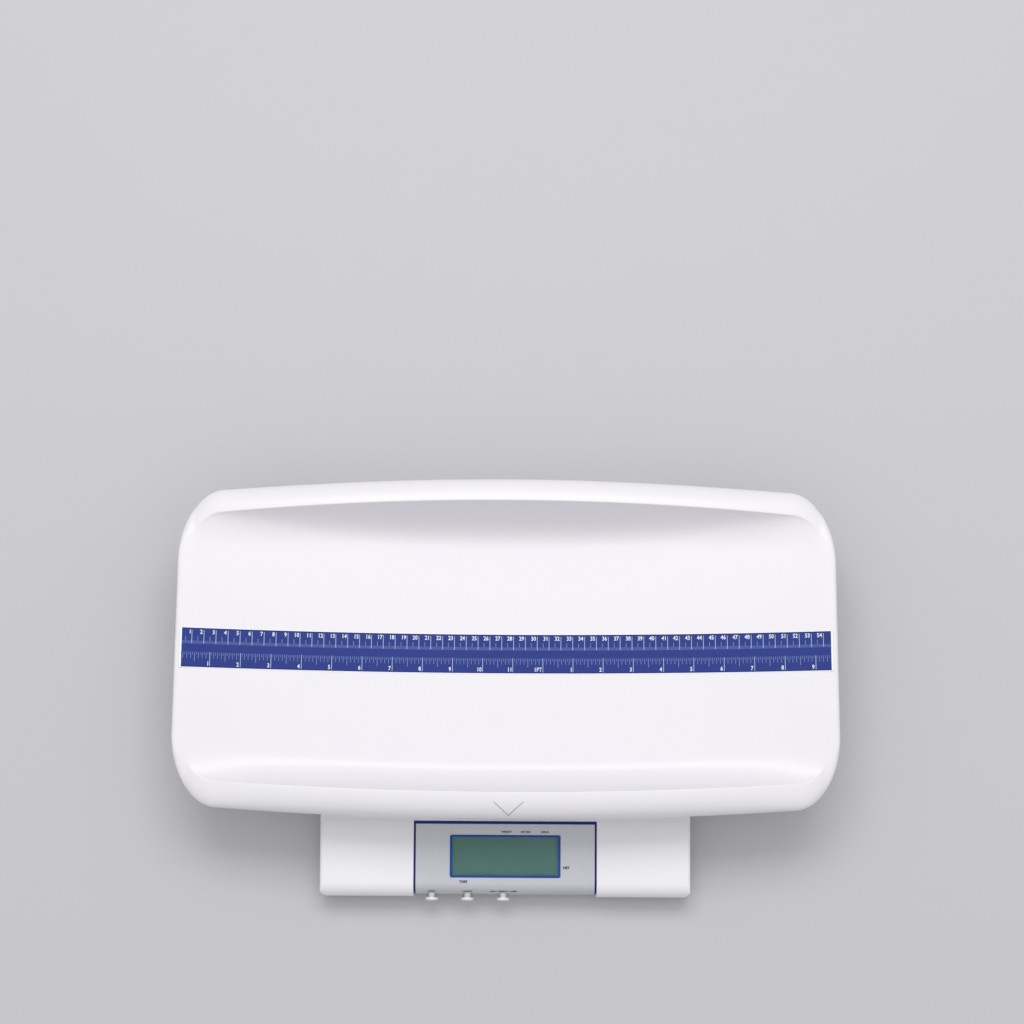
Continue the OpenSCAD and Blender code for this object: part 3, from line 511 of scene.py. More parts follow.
@dataclass(frozen=True)
class BandedFinish(Finish):
    """A finish with straight bands of other colours laid over it.

    Attributes:
        bands: For each band, the axis that it is measured along, the two places on it where the
            band starts and ends, and its colour.
    """

    bands: tuple[tuple[int, float, float, Colour], ...] = ()

    def base_colour(self, graph: Graph, skin: bpy.types.Node) -> bpy.types.NodeSocket:
        """The colour with its bands laid over it.

        Args:
            graph: The material's graph.
            skin: The shared group's node.

        Returns:
            The socket that gives the colour.
        """
        place = graph.parts(graph.term(graph.node("ShaderNodeTexCoord"), "Object"))
        colour = skin.outputs["Colour"]
        for axis, start, end, tone in self.bands:
            inside = place[axis].over(start) - place[axis].over(end)
            mix = graph.node(
                "ShaderNodeMix",
                {"Factor": inside, 6: colour, 7: (*tone, 1.0)},
                data_type="RGBA",
            )
            colour = mix.outputs[2]
        return colour


TRAY_WHITE = Finish(
    "tray_white", (0.80, 0.785, 0.825), 0.4, Skin.PEEL, 3.0 * MM, 0.012 * MM, 0.01, coat=0.12
)
HOUSING_WHITE = Finish(
    "housing_white", (0.85, 0.84, 0.875), 0.38, Skin.PEEL, 1.6 * MM, 0.008 * MM, 0.012, coat=0.1
)
PAN_WHITE = Finish("pan_white", (0.72, 0.715, 0.745), 0.5, Skin.GRAIN, 0.5 * MM, 0.02 * MM, 0.03)
CUP_WHITE = Finish("cup_white", (0.72, 0.715, 0.745), 0.5)
DOOR_WHITE = Finish("door_white", (0.71, 0.705, 0.735), 0.48, Skin.GRAIN, 0.5 * MM, 0.02 * MM, 0.03)
BOX_WHITE = Finish("box_white", (0.66, 0.66, 0.68), 0.55)
CARRIER_WHITE = Finish("carrier_plastic", (0.70, 0.70, 0.67), 0.5)
SILVER_FILM = Finish(
    "fascia_silver", (0.55, 0.555, 0.59), 0.45, Skin.PEARL, 0.35 * MM, 0.004 * MM, 0.05, 0.2, 0.05
)
TRIM_BLUE = Finish(
    "trim_blue", (0.002, 0.010, 0.17), 0.3, Skin.PEEL, 1.0 * MM, 0.004 * MM, shine=0.25
)
FRAME_BLUE = Finish(
    "frame_blue", (0.003, 0.065, 0.36), 0.35, Skin.PEEL, 1.0 * MM, 0.004 * MM, shine=0.25
)
WINDOW_CLEAR = Finish(
    "window_clear", (0.93, 0.95, 0.94), 0.06, Skin.PEEL, 4.0 * MM, 0.002 * MM, 0.0,
    clear=1.0, cover=0.3,
)
DISPLAY_GREY = Finish(
    "lcd_grey", (0.075, 0.19, 0.168), 0.5, Skin.PEARL, 0.3 * MM, 0.002 * MM, 0.02, shine=0.2
)
CAP_SILVER = Finish(
    "cap_silver", (0.88, 0.88, 0.9), 0.2, Skin.PEEL, 2.0 * MM, 0.003 * MM, 0.01, 0.3, 0.3
)
CHROME = Finish("stem_chrome", (0.6, 0.61, 0.64), 0.12, Skin.PEEL, 2.0 * MM, 0.003 * MM, 0.01, 1.0)
BLACK_PLASTIC = Finish("switch_black", (0.02, 0.02, 0.022), 0.45)
RUBBER = Finish("foot_rubber", (0.022, 0.022, 0.024), 0.75, Skin.GRAIN, 0.4 * MM, 0.03 * MM, 0.15)
BOARD_GREEN = Finish("board_green", (0.012, 0.09, 0.035), 0.35, Skin.PEEL, 1.0 * MM, 0.01 * MM, 0.1)
PLATE_STEEL = Finish(
    "plate_steel", (0.56, 0.58, 0.6), 0.34, Skin.BRUSHED, 0.2 * MM, 0.004 * MM, 0.06, 1.0
)
SCREW_STEEL = Finish(
    "screw_steel", (0.6, 0.6, 0.61), 0.26, Skin.GRAIN, 0.3 * MM, 0.004 * MM, 0.05, 1.0
)
SPACER_STEEL = Finish(
    "spacer_steel", (0.45, 0.46, 0.48), 0.4, Skin.BRUSHED, 0.2 * MM, 0.004 * MM, 0.06, 1.0
)
POST_STEEL = Finish(
    "post_steel", (0.63, 0.64, 0.66), 0.24, Skin.BRUSHED, 0.15 * MM, 0.003 * MM, 0.05, 1.0
)
BLACK_OXIDE = Finish(
    "bolt_black", (0.06, 0.06, 0.065), 0.38, Skin.GRAIN, 0.3 * MM, 0.005 * MM, 0.1, 0.9
)
ALUMINIUM = Finish(
    "cell_aluminium", (0.72, 0.73, 0.75), 0.33, Skin.BRUSHED, 0.2 * MM, 0.005 * MM, 0.05, 1.0
)
NICKEL = Finish(
    "contact_nickel", (0.68, 0.67, 0.63), 0.25, Skin.GRAIN, 0.4 * MM, 0.003 * MM, 0.05, 1.0
)
GAUGE_FILM = Finish(
    "gauge_film", (0.55, 0.36, 0.08), 0.3, Skin.PEEL, 0.5 * MM, 0.003 * MM, 0.1, coat=0.4
)
GREY_SLEEVE = Finish("lead_grey", (0.09, 0.09, 0.1), 0.5)
RED_SLEEVE = Finish("lead_red", (0.42, 0.02, 0.02), 0.45)
CELL_SLEEVE = Finish(
    "battery_label", (0.42, 0.26, 0.05), 0.3, Skin.PEEL, 1.0 * MM, 0.005 * MM, 0.05, 0.7, 0.4
)
BLACK_INK = Finish("ink_black", (0.012, 0.012, 0.014), 0.4, Skin.GRAIN, 0.1 * MM, 0.001 * MM, 0.1)
BLUE_INK = Finish("ink_blue", (0.01, 0.02, 0.22), 0.4, Skin.GRAIN, 0.1 * MM, 0.001 * MM, 0.1)
WHITE_INK = Finish("ink_white", (0.76, 0.8, 0.86), 0.4, Skin.GRAIN, 0.1 * MM, 0.001 * MM, 0.03)
TICK_INK = Finish("ink_tick", (0.38, 0.46, 0.72), 0.4, Skin.GRAIN, 0.1 * MM, 0.001 * MM, 0.03)
FAINT_INK = Finish("ink_faint", (0.16, 0.22, 0.46), 0.4, Skin.GRAIN, 0.1 * MM, 0.001 * MM, 0.03)
# Painted shade: the grey that stands for the shadow inside the rim's moulded V.
GROOVE_PAINTED_SHADE = Finish("groove_painted_shade", (0.33, 0.31, 0.35), 0.4, Skin.GRAIN, 0.3 * MM, 0.001 * MM, 0.05)

NODE_FINISHES = {
    "tray": TRAY_WHITE,
    "locating_cups": CUP_WHITE,
    "top_cover": HOUSING_WHITE,
    "bottom_pan": PAN_WHITE,
    "rubber_feet": RUBBER,
    "housing_screws": SCREW_STEEL,
    "display_fascia": SILVER_FILM,
    "fascia_trim": TRIM_BLUE,
    "window_frame": FRAME_BLUE,
    "display_window": WINDOW_CLEAR,
    "lcd_glass": DISPLAY_GREY,
    "lcd_carrier": CARRIER_WHITE,
    "main_board": BOARD_GREEN,
    "board_screws": SCREW_STEEL,
    "buzzer": BLACK_PLASTIC,
    "button_board": BOARD_GREEN,
    "key_switches": BLACK_PLASTIC,
    "unit_button": CAP_SILVER,
    "unit_plunger": CHROME,
    "hold_button": CAP_SILVER,
    "hold_plunger": CHROME,
    "power_button": CAP_SILVER,
    "power_plunger": CHROME,
    "chassis_plate": PLATE_STEEL,
    "chassis_screws": SCREW_STEEL,
    "lower_spacer": SPACER_STEEL,
    "cell_screws": BLACK_OXIDE,
    "load_cell": ALUMINIUM,
    "strain_gauges": GAUGE_FILM,
    "overload_stops": SCREW_STEEL,
    "cell_lead": GREY_SLEEVE,
    "upper_spacer": SPACER_STEEL,
    "load_spider": PLATE_STEEL,
    "spider_screws": BLACK_OXIDE,
    "support_posts": POST_STEEL,
    "post_screws": SCREW_STEEL,
    "post_pads": RUBBER,
    "battery_box": BOX_WHITE,
    "batteries": CELL_SLEEVE,
    "battery_contacts": NICKEL,
    "battery_lead": RED_SLEEVE,
    "battery_door": DOOR_WHITE,
}


# ---------------------------------------------------------------- meshes


def linked(name: str, mesh: bpy.types.Mesh, finish: Finish | None = None) -> bpy.types.Object:
    """Puts a mesh into the scene.

    Args:
        name: The new object's name.
        mesh: Its mesh.
        finish: Its finish, if it has one of its own.

    Returns:
        The new object, at the origin.
    """
    piece = bpy.data.objects.new(name, mesh)
    bpy.context.scene.collection.objects.link(piece)
    if finish is not None:
        mesh.materials.clear()
        mesh.materials.append(finish.material())
    return piece


def evaluated(piece: bpy.types.Object) -> bpy.types.Mesh:
    """Bakes an object's modifiers, and removes the object.

    Args:
        piece: The object.

    Returns:
        The finished mesh.
    """
    graph = bpy.context.evaluated_depsgraph_get()
    mesh = bpy.data.meshes.new_from_object(piece.evaluated_get(graph), depsgraph=graph)
    bpy.data.objects.remove(piece)
    return mesh


def run_tree(
    tree: bpy.types.NodeTree, sizes: dict[str, object], base: bpy.types.Mesh | None = None
) -> bpy.types.Mesh:
    """Runs a geometry tree once.

    Args:
        tree: The tree.
        sizes: Values for its inputs, by name.
        base: The mesh that it works on, if it needs one.

    Returns:
        The result as a plain mesh.
    """
    carrier = linked("carrier", base or bpy.data.meshes.new("carrier"))
    modifier = carrier.modifiers.new("tree", "NODES")
    modifier.node_group = tree
    for item in tree.interface.items_tree:
        if item.in_out == "INPUT" and item.name in sizes:
            modifier[item.identifier] = sizes[item.name]
    return evaluated(carrier)


def smooth(mesh: bpy.types.Mesh, angle: float) -> None:
    """Shades a mesh smooth, with sharp edges where it turns by more than an angle.

    Args:
        mesh: The mesh.
        angle: The angle in degrees.
    """
    mesh.shade_smooth()
    mesh.set_sharp_from_angle(angle=math.radians(angle))


def joined(meshes: Iterable[bpy.types.Mesh]) -> bpy.types.Mesh:
    """Puts several meshes into one.

    Args:
        meshes: The meshes, which are used up.

    Returns:
        The one mesh.
    """
    whole = bmesh.new()
    for mesh in meshes:
        whole.from_mesh(mesh)
        bpy.data.meshes.remove(mesh)
    result = bpy.data.meshes.new("joined")
    whole.to_mesh(result)
    whole.free()
    return result


def flat_text(words: str, weight: float = 0.0) -> bpy.types.Mesh:
    """Flat letters of size 1, centred on the origin and facing up.

    Args:
        words: What they say.
        weight: How far their outlines are pushed outwards.

    Returns:
        The letters' mesh.
    """
    curve = bpy.data.curves.new(words, "FONT")
    curve.body = words
    curve.align_x = "CENTER"
    curve.align_y = "CENTER"
    curve.offset = weight
    curve.resolution_u = 2
    letters = bpy.data.objects.new(words, curve)
    bpy.context.scene.collection.objects.link(letters)
    return evaluated(letters)


def cut_rows(mesh: bpy.types.Mesh, pitch: float) -> None:
    """Cuts a flat mesh into narrow rows, so that it can bend along its height.

    Args:
        mesh: The mesh.
        pitch: The height of a row.
    """
    shape = bmesh.new()
    shape.from_mesh(mesh)
    heights = [vertex.co.y for vertex in shape.verts]
    cut = min(heights) + pitch
    while cut < max(heights):
        bmesh.ops.bisect_plane(
            shape, geom=[*shape.verts, *shape.edges, *shape.faces], dist=pitch / 1000,
            plane_co=(0, cut, 0), plane_no=(0, 1, 0),
        )
        cut += pitch
    shape.to_mesh(mesh)
    shape.free()


def spread(mesh: bpy.types.Mesh, axis: int) -> float:
    """A mesh's size along an axis."""
    places = [vertex.co[axis] for vertex in mesh.vertices]
    return max(places) - min(places)


def lettering(
    words: str,
    height: float,
    width: float | None = None,
    stretch: float = 1.0,
    weight: float = 0.02,
) -> bpy.types.Mesh:
    """Flat letters at their real size, centred on the origin and facing up.

    Args:
        words: What they say.
        height: The height of a capital.
        width: The width of all the letters. Without it, their width follows their height.
        stretch: How wide the letters are, as a share of the plain font's.
        weight: How far their outlines are pushed outwards, as a share of their size.

    Returns:
        The letters' mesh.
    """
    mesh = flat_text(words, weight)
    tall = height / spread(flat_text("H", weight), 1)
    wide = width / spread(mesh, 0) if width else tall * stretch
    mesh.transform(Matrix.Diagonal((wide, tall, 1.0, 1.0)))
    return mesh


class Softener:
    """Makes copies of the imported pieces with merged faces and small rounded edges.

    Attributes:
        MERGE_SHARE: Points nearer to each other than this share of the radius become one, because
            one very short edge would keep every edge sharp.
        FLAT_DEGREES: Faces that turn by less than this become one.
    """

    MERGE_SHARE = 1 / 8
    FLAT_DEGREES = 0.3

    def __init__(self, nodes: dict[str, bpy.types.Object]) -> None:
        """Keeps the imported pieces.

        Args:
            nodes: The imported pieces, by node.
        """
        self.nodes = nodes

    def copy(self, node: str, radius: float, angle: float = 30.0) -> bpy.types.Object:
        """A copy that stands for its node.

        Args:
            node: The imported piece.
            radius: The radius of its moulded edges.
            angle: Edges that turn by more than this many degrees are rounded.

        Returns:
            The copy, with its node's finish.
        """
        mesh = self.nodes[node].data.copy()
        shape = bmesh.new()
        shape.from_mesh(mesh)
        bmesh.ops.remove_doubles(shape, verts=shape.verts, dist=radius * self.MERGE_SHARE)
        flat = math.radians(self.FLAT_DEGREES)
        bmesh.ops.dissolve_limit(shape, angle_limit=flat, verts=shape.verts, edges=shape.edges)
        shape.to_mesh(mesh)
        shape.free()
        smooth(mesh, angle)
        rough = linked(f"{node}_rough", mesh, NODE_FINISHES[node])
        bevel = rough.modifiers.new("edges", "BEVEL")
        bevel.width = radius
        bevel.segments = 3
        bevel.limit_method = "ANGLE"
        bevel.angle_limit = math.radians(angle)
        normals = rough.modifiers.new("flat_faces", "WEIGHTED_NORMAL")
        normals.mode = "FACE_AREA"
        normals.keep_sharp = True
        return linked(f"{node}_moulded", evaluated(rough), NODE_FINISHES[node])


# ---------------------------------------------------------------- tray


@dataclass
class Tray:
    """The bowed tray: a floor that curves up to its ends, with rolled rims along the long sides.

    Attributes:
        length: Side to side.
        depth: Front to back at the middle.
        middle_y: The tray's centre line.
        crest_z: Top of the rims.
        end_rise: How far the ends stand above the middle of the floor.
        rim_rise: Height of the rims above the middle of the floor.
        side_bow: How far the long sides bow outwards.
        corner_long: Size of the rounded corners along the length.
        corner_deep: Size of the rounded corners along the depth.
        wall_width: Width of the curved wall between floor and crest.
        roll_width: Width of the rolled rim outside its crest.
        roll_drop: Drop of the rolled rim.
        end_roll: Width of the roll along the ends.
        end_drop: Drop of the roll along the ends.
        lip: Height of the plain lip under the roll.
        thickness: The wall.
        lip_round: Radius of the lip's two edges.
    """

    length: float
    depth: float
    middle_y: float
    crest_z: float
    end_rise: float = 33 * MM
    rim_rise: float = 45 * MM
    side_bow: float = 12 * MM
    corner_long: float = 36 * MM
    corner_deep: float = 58 * MM
    wall_width: float = 30 * MM
    roll_width: float = 21 * MM
    roll_drop: float = 16 * MM
    end_roll: float = 4.5 * MM
    end_drop: float = 5 * MM
    lip: float = 3 * MM
    thickness: float = 3 * MM
    lip_round: float = 0.6 * MM

    @classmethod
    def from_frame(cls) -> Tray:
        """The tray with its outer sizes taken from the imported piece."""
        low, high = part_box("tray")
        return cls(high.x - low.x, high.y - low.y, (low.y + high.y) / 2, high.z)

    @property
    def floor_z(self) -> float:
        """Height of the middle of the floor."""
        return self.crest_z - self.rim_rise

    def sizes(self) -> dict[str, float]:
        """The tray's sizes, by the names of the tree's inputs."""
        return {
            "Length": self.length,
            "Depth": self.depth,
            "Middle": self.middle_y,
            "Floor height": self.floor_z,
            "End rise": self.end_rise,
            "Rim rise": self.rim_rise,
            "Side bow": self.side_bow,
            "Corner length": self.corner_long,
            "Corner depth": self.corner_deep,
            "Wall width": self.wall_width,
            "Roll width": self.roll_width,
            "Roll drop": self.roll_drop,
            "End roll": self.end_roll,
            "End drop": self.end_drop,
            "Lip": self.lip,
        }

    def tree(self) -> bpy.types.NodeTree:
        """Builds the tree that bends a flat grid into the tray's upper face.

        Returns:
            The tree, with the tray's sizes as its inputs.
        """
        inputs = {label: ("NodeSocketFloat", None) for label in self.sizes()}
        inputs |= {
            "Columns": ("NodeSocketInt", 200),
            "Rows": ("NodeSocketInt", 120),
            "Material": ("NodeSocketMaterial", None),
        }
        graph = Graph.group(
            "tray_surface", "GeometryNodeTree", inputs, {"Geometry": "NodeSocketGeometry"}
        )
        size = graph.sizes
        grid = graph.node(
            "GeometryNodeMeshGrid",
            {"Size X": 2.0, "Size Y": 2.0,
             "Vertices X": size["Columns"], "Vertices Y": size["Rows"]},
        )
        moved = graph.node(
            "GeometryNodeSetPosition", {"Geometry": grid, "Position": self.surface_point(graph)}
        )
        edge = graph.node("GeometryNodeInputMeshEdgeNeighbors")
        rim = graph.node("FunctionNodeCompare", data_type="INT", operation="EQUAL")
        graph.tree.links.new(edge.outputs[0], rim.inputs[2])
        rim.inputs[3].default_value = 1
        lip = graph.node(
            "GeometryNodeExtrudeMesh",
            {"Mesh": moved, "Selection": rim.outputs["Result"],
             "Offset": graph.vector(0.0, 0.0, -1.0), "Offset Scale": size["Lip"]},
            mode="EDGES",
        )
        real = graph.node("GeometryNodeRealizeInstances", {0: lip})
        dressed = graph.node("GeometryNodeSetMaterial", {0: real, "Material": size["Material"]})
        return graph.finish(Geometry=dressed)

    @staticmethod
    def surface_point(graph: Graph) -> bpy.types.Node:
        """The place on the tray of a point of the flat grid, whose sides run from -1 to 1.

        Args:
            graph: The tree's graph.

        Returns:
            The node that gives the place.
        """
        # How the flat grid is shared out: the sides up to the corners, the floor up to the foot of
        # the wall, and the wall up to the rim's crest.
        side_share, foot_share, crest_share = 0.78, 0.3, 0.7
        # The wall's curve, and where it fades out before the corners.
        fade, fullness, ease, crowding = 0.35, 0.94, 1.25, 1.4
        quarter = math.pi / 2
        size = graph.sizes
        grid_x, grid_y, _ = graph.parts(graph.node("GeometryNodeInputPosition"))
        u, v = abs(grid_x), abs(grid_y)
        half = size["Length"] / 2
        turn = ((u - side_share) / (1 - side_share)).high(0.0) * quarter
        x = (u / side_share).low(1.0) * (half - size["Corner length"])
        x = x + size["Corner length"] * turn.sine()
        along = x / half
        half_depth = size["Depth"] / 2 - size["Side bow"] * along ** 2
        half_depth = half_depth - size["Corner depth"] * (1.0 - turn.cosine())
        roll_turn = ((v - crest_share) / (1 - crest_share)).high(0.0) * quarter
        fall = (((crest_share - v) / (crest_share - foot_share)).share()) ** crowding
        inset = size["Roll width"] * (1.0 - roll_turn.sine()) + size["Wall width"] * fall
        y = (half_depth - inset) * (v / foot_share).low(1.0)

        def dip(share: Term) -> Term:
            """The depth of a quarter circle at a share of its width."""
            return 1.0 - (1.0 - share ** 2).high(0.0).root()

        wall = dip((1.0 - fall) ** ease * fullness) / (1 - math.sqrt(1 - fullness ** 2))
        across, down = size["Corner depth"] * turn.sine(), size["Corner length"] * turn.cosine()
        facing = down / (across ** 2 + down ** 2).root()
        gap = (inset * facing).low(half - x)
        width = size["Roll width"].to(size["End roll"], turn.sine() ** 2)
        drop = size["Roll drop"].to(size["End drop"], along ** 4)
        fade_x = half - size["Corner length"] * fade
        rim = size["Rim rise"] * (1.0 - (x / fade_x) ** 2).high(0.0)
        z = size["Floor height"] + size["End rise"] * along ** 2 + rim * wall
        z = z - drop * dip((1.0 - gap / width).high(0.0))
        return graph.vector(x * grid_x.sign(), y * grid_y.sign() + size["Middle"], z)

    def build(self) -> bpy.types.Object:
        """Moulds the tray.

        Returns:
            The tray as a closed shell.
        """
        fineness = {"Columns": 241, "Rows": 141}
        upper = run_tree(
            self.tree(), {**self.sizes(), **fineness, "Material": TRAY_WHITE.material()}
        )
        shape = bmesh.new()
        shape.from_mesh(upper)
        bmesh.ops.remove_doubles(shape, verts=shape.verts, dist=0.001 * MM)
        bmesh.ops.recalc_face_normals(shape, faces=shape.faces)
        floor = Vector((0.0, self.middle_y, self.floor_z))
        middle = min(shape.faces, key=lambda face: (face.calc_center_median() - floor).length)
        if middle.normal.z < 0:
            bmesh.ops.reverse_faces(shape, faces=shape.faces)
        shape.to_mesh(upper)
        shape.free()
        shell = linked("tray_shell", upper)
        wall = shell.modifiers.new("wall", "SOLIDIFY")
        wall.thickness = self.thickness
        wall.offset = -1.0
        wall.use_even_offset = True
        bevel = shell.modifiers.new("lip", "BEVEL")
        bevel.width = self.lip_round
        bevel.segments = 2
        bevel.limit_method = "ANGLE"
        bevel.angle_limit = math.radians(50)
        mesh = evaluated(shell)
        smooth(mesh, 60)
        tray = linked("tray_moulding", mesh, TRAY_WHITE)
        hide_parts("tray")
        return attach(tray, "tray_unit")


# The V is not cut into the tray: a grey strip of painted shade lies on the rim where the groove's
# shadow would fall.
@dataclass
class RimMark:
    """The fine V moulded into the front rim over the console's middle.

    Attributes:
        middle_x: Its middle.
        point_y: The place of its point along the depth.
        half: Half its width.
        deep: Its size along the depth.
        line: The width of its line, a grey strip of painted shade.
        lift: How high the line lies on the rim, so that it shows.
    """

    middle_x: float
    point_y: float
    half: float = 12.2 * MM
    deep: float = 10.6 * MM
    line: float = 0.6 * MM
    lift: float = 0.08 * MM

    def build(self, tray: bpy.types.Object) -> bpy.types.Object:
        """Draws the mark on the tray.

        Args:
            tray: The moulded tray.

        Returns:
            The line as a thin strip of painted shade.
        """
        steps = 120
        mesh = tray.data
        surface = BVHTree.FromPolygons(
            [vertex.co for vertex in mesh.vertices], [face.vertices for face in mesh.polygons]
        )
        reach = self.line / 2 * math.hypot(self.half, self.deep) / self.half
        shape = bmesh.new()
        pairs = []
        for i in range(steps + 1):
            share = 2 * i / steps - 1
            x, y = self.middle_x + share * self.half, self.point_y + abs(share) * self.deep
            pair = []
            for side in (-reach, reach):
                place = surface.ray_cast(Vector((x, y + side, 1.0)), Vector((0.0, 0.0, -1.0)))[0]
                pair.append(shape.verts.new((place.x, place.y, place.z + self.lift)))
            pairs.append(pair)
        for near, far in zip(pairs, pairs[1:]):
            shape.faces.new((near[0], far[0], far[1], near[1]))
        drawn = bpy.data.meshes.new("rim_groove_painted_shade")
        shape.to_mesh(drawn)
        shape.free()
        mark = linked("rim_groove_painted_shade", drawn, GROOVE_PAINTED_SHADE)
        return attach(mark, "tray_unit")


@dataclass
class MeasuringTape:
    """The printed tape along the floor of the tray.

    Attributes:
        tray: The tray that it lies in.
        length: Its length along the curve.
        width: Its width.
        middle_y: The line along its middle.
        film: Thickness of the film.
        ink: How high the print lies on the film.
        border: Width of the film's white margin.
        edge: Width of the deep blue along its long edges.
        pale: Start and end of its pale band, in front of the back edge.
        capital: Height of its numbers.
        stretch: How wide the numbers are, as a share of the plain font's.
        aside: How far a number ends to the left of its tick.
    """

    tray: Tray
    length: float = 548 * MM
    width: float = 34 * MM
    middle_y: float = 0.0
    film: float = 0.3 * MM
    ink: float = 0.03 * MM
    border: float = 0.6 * MM
    edge: float = 1.4 * MM
    pale: tuple[float, float] = (11.3 * MM, 13.9 * MM)
    capital: float = 3.5 * MM
    stretch: float = 0.88
    aside: float = 1.2 * MM

    BLUE = (0.018, 0.037, 0.225)
    EDGE_BLUE = (0.006, 0.010, 0.16)
    PALE_BLUE = (0.06, 0.10, 0.31)
    WHITE = (0.86, 0.87, 0.9)
    CENTIMETRES = 54
    INCHES = 21

    @property
    def back_y(self) -> float:
        """The tape's back edge."""
        return self.middle_y + self.width / 2

    @property
    def flat_end(self) -> float:
        """Where the tape's ends lie, measured level from its middle."""
        return (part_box("measuring_tape")[1].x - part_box("measuring_tape")[0].x) / 2

    def finish(self) -> BandedFinish:
        """The tape's film: blue with a pale band, deep edges and a white margin."""
        back, front = self.back_y, self.back_y - self.width
        end = self.tray.length / 2
        blue_end = self.flat_end - 2 * self.border
        return BandedFinish(
            "tape_print", self.BLUE, 0.4, Skin.PEEL, 2.0 * MM, 0.004 * MM, 0.03, shine=0.2,
            bands=(
                (1, back - self.pale[1], back - self.pale[0], self.PALE_BLUE),
                (1, back - self.edge, back, self.EDGE_BLUE),
                (1, front, front + self.edge, self.EDGE_BLUE),
                (1, back - self.border, back + MM, self.WHITE),
                (1, front - MM, front + self.border, self.WHITE),
                (0, -end, -blue_end, self.WHITE),
                (0, blue_end, end, self.WHITE),
            ),
        )

    def bend_tree(self) -> bpy.types.NodeTree:
        """Builds the group that lays flat geometry along the floor's curve.

        Returns:
            The group. Its geometry is drawn with X along the tape from the middle, Y to the back
            and Z above the floor.
        """
        graph = Graph.group(
            "lay_on_floor",
            "GeometryNodeTree",
            {
                "Geometry": ("NodeSocketGeometry", None),
                "Length": ("NodeSocketFloat", self.tray.length),
                "End rise": ("NodeSocketFloat", self.tray.end_rise),
                "Floor height": ("NodeSocketFloat", self.tray.floor_z),
                "Middle": ("NodeSocketFloat", self.middle_y),
            },
            {"Geometry": "NodeSocketGeometry"},
        )
        size = graph.sizes
        half = size["Length"] / 2
        line = graph.node(
            "GeometryNodeMeshLine",
            {"Count": 401, "Start Location": graph.vector(half * -1.0, 0.0, 0.0),
             "Offset": graph.vector(half, 0.0, 0.0)},
            mode="END_POINTS",
        )
        x, _, _ = graph.parts(graph.node("GeometryNodeInputPosition"))
        rise = size["Floor height"] + size["End rise"] * (x / half) ** 2
        arch = graph.node(
            "GeometryNodeSetPosition", {"Geometry": line, "Position": graph.vector(x, 0.0, rise)}
        )
        path = graph.node("GeometryNodeMeshToCurve", {0: arch})
        whole = graph.term(graph.node("GeometryNodeCurveLength", {0: path}))
        flat_x, flat_y, flat_z = graph.parts(graph.node("GeometryNodeInputPosition"))
        sample = graph.node(
            "GeometryNodeSampleCurve",
            {"Curves": path, "Length": flat_x + whole / 2},
            mode="LENGTH",
        )
        on_x, _, on_z = graph.parts(graph.term(sample, "Position"))
        run_x, _, run_z = graph.parts(graph.term(sample, "Tangent"))
        place = graph.vector(on_x - run_z * flat_z, flat_y + size["Middle"], on_z + run_x * flat_z)
        bent = graph.node(
            "GeometryNodeSetPosition", {"Geometry": size["Geometry"], "Position": place}
        )
        return graph.finish(Geometry=bent)

    def marks_tree(self, bend: bpy.types.NodeTree) -> bpy.types.NodeTree:
        """Builds the tree that prints a row of equal ticks.

        Args:
            bend: The group that lays the ticks on the floor.

        Returns:
            The tree.
        """
        graph = Graph.group(
            "tick_row",
            "GeometryNodeTree",
            {
                "Count": ("NodeSocketInt", 10),
                "First": ("NodeSocketFloat", 0.0),
                "Pitch": ("NodeSocketFloat", CM),
                "Tick width": ("NodeSocketFloat", 0.3 * MM),
                "Tick length": ("NodeSocketFloat", 5 * MM),
                "Tick middle": ("NodeSocketFloat", 0.0),
                "Height": ("NodeSocketFloat", self.film + self.ink),
                "Material": ("NodeSocketMaterial", None),
            },
            {"Geometry": "NodeSocketGeometry"},
        )
        size = graph.sizes
        row = graph.node(
            "GeometryNodeMeshLine",
            {"Count": size["Count"],
             "Start Location": graph.vector(size["First"], size["Tick middle"], size["Height"]),
             "Offset": graph.vector(size["Pitch"], 0.0, 0.0)},
            mode="OFFSET",
        )
        tick = graph.node(
            "GeometryNodeMeshGrid",
            {"Size X": size["Tick width"], "Size Y": size["Tick length"],
             "Vertices X": 2, "Vertices Y": 2},
        )
        spread = graph.node("GeometryNodeInstanceOnPoints", {"Points": row, "Instance": tick})
        real = graph.node("GeometryNodeRealizeInstances", {0: spread})
        laid = graph.node("GeometryNodeGroup", {}, node_tree=bend)
        graph.tree.links.new(real.outputs[0], laid.inputs["Geometry"])
        dressed = graph.node("GeometryNodeSetMaterial", {0: laid, "Material": size["Material"]})
        return graph.finish(Geometry=dressed)

    def lay_tree(self, bend: bpy.types.NodeTree) -> bpy.types.NodeTree:
        """Builds the tree that lays a drawn mesh on the floor.

        Args:
            bend: The group that bends it.

        Returns:
            The tree.
        """
        graph = Graph.group(
            "laid_print",
            "GeometryNodeTree",
            {"Geometry": ("NodeSocketGeometry", None), "Material": ("NodeSocketMaterial", None)},
            {"Geometry": "NodeSocketGeometry"},
        )
        laid = graph.node("GeometryNodeGroup", {}, node_tree=bend)
        graph.tree.links.new(graph.entry.outputs["Geometry"], laid.inputs["Geometry"])
        real = graph.node("GeometryNodeRealizeInstances", {0: laid})
        material = graph.sizes["Material"]
        dressed = graph.node("GeometryNodeSetMaterial", {0: real, "Material": material})
        return graph.finish(Geometry=dressed)

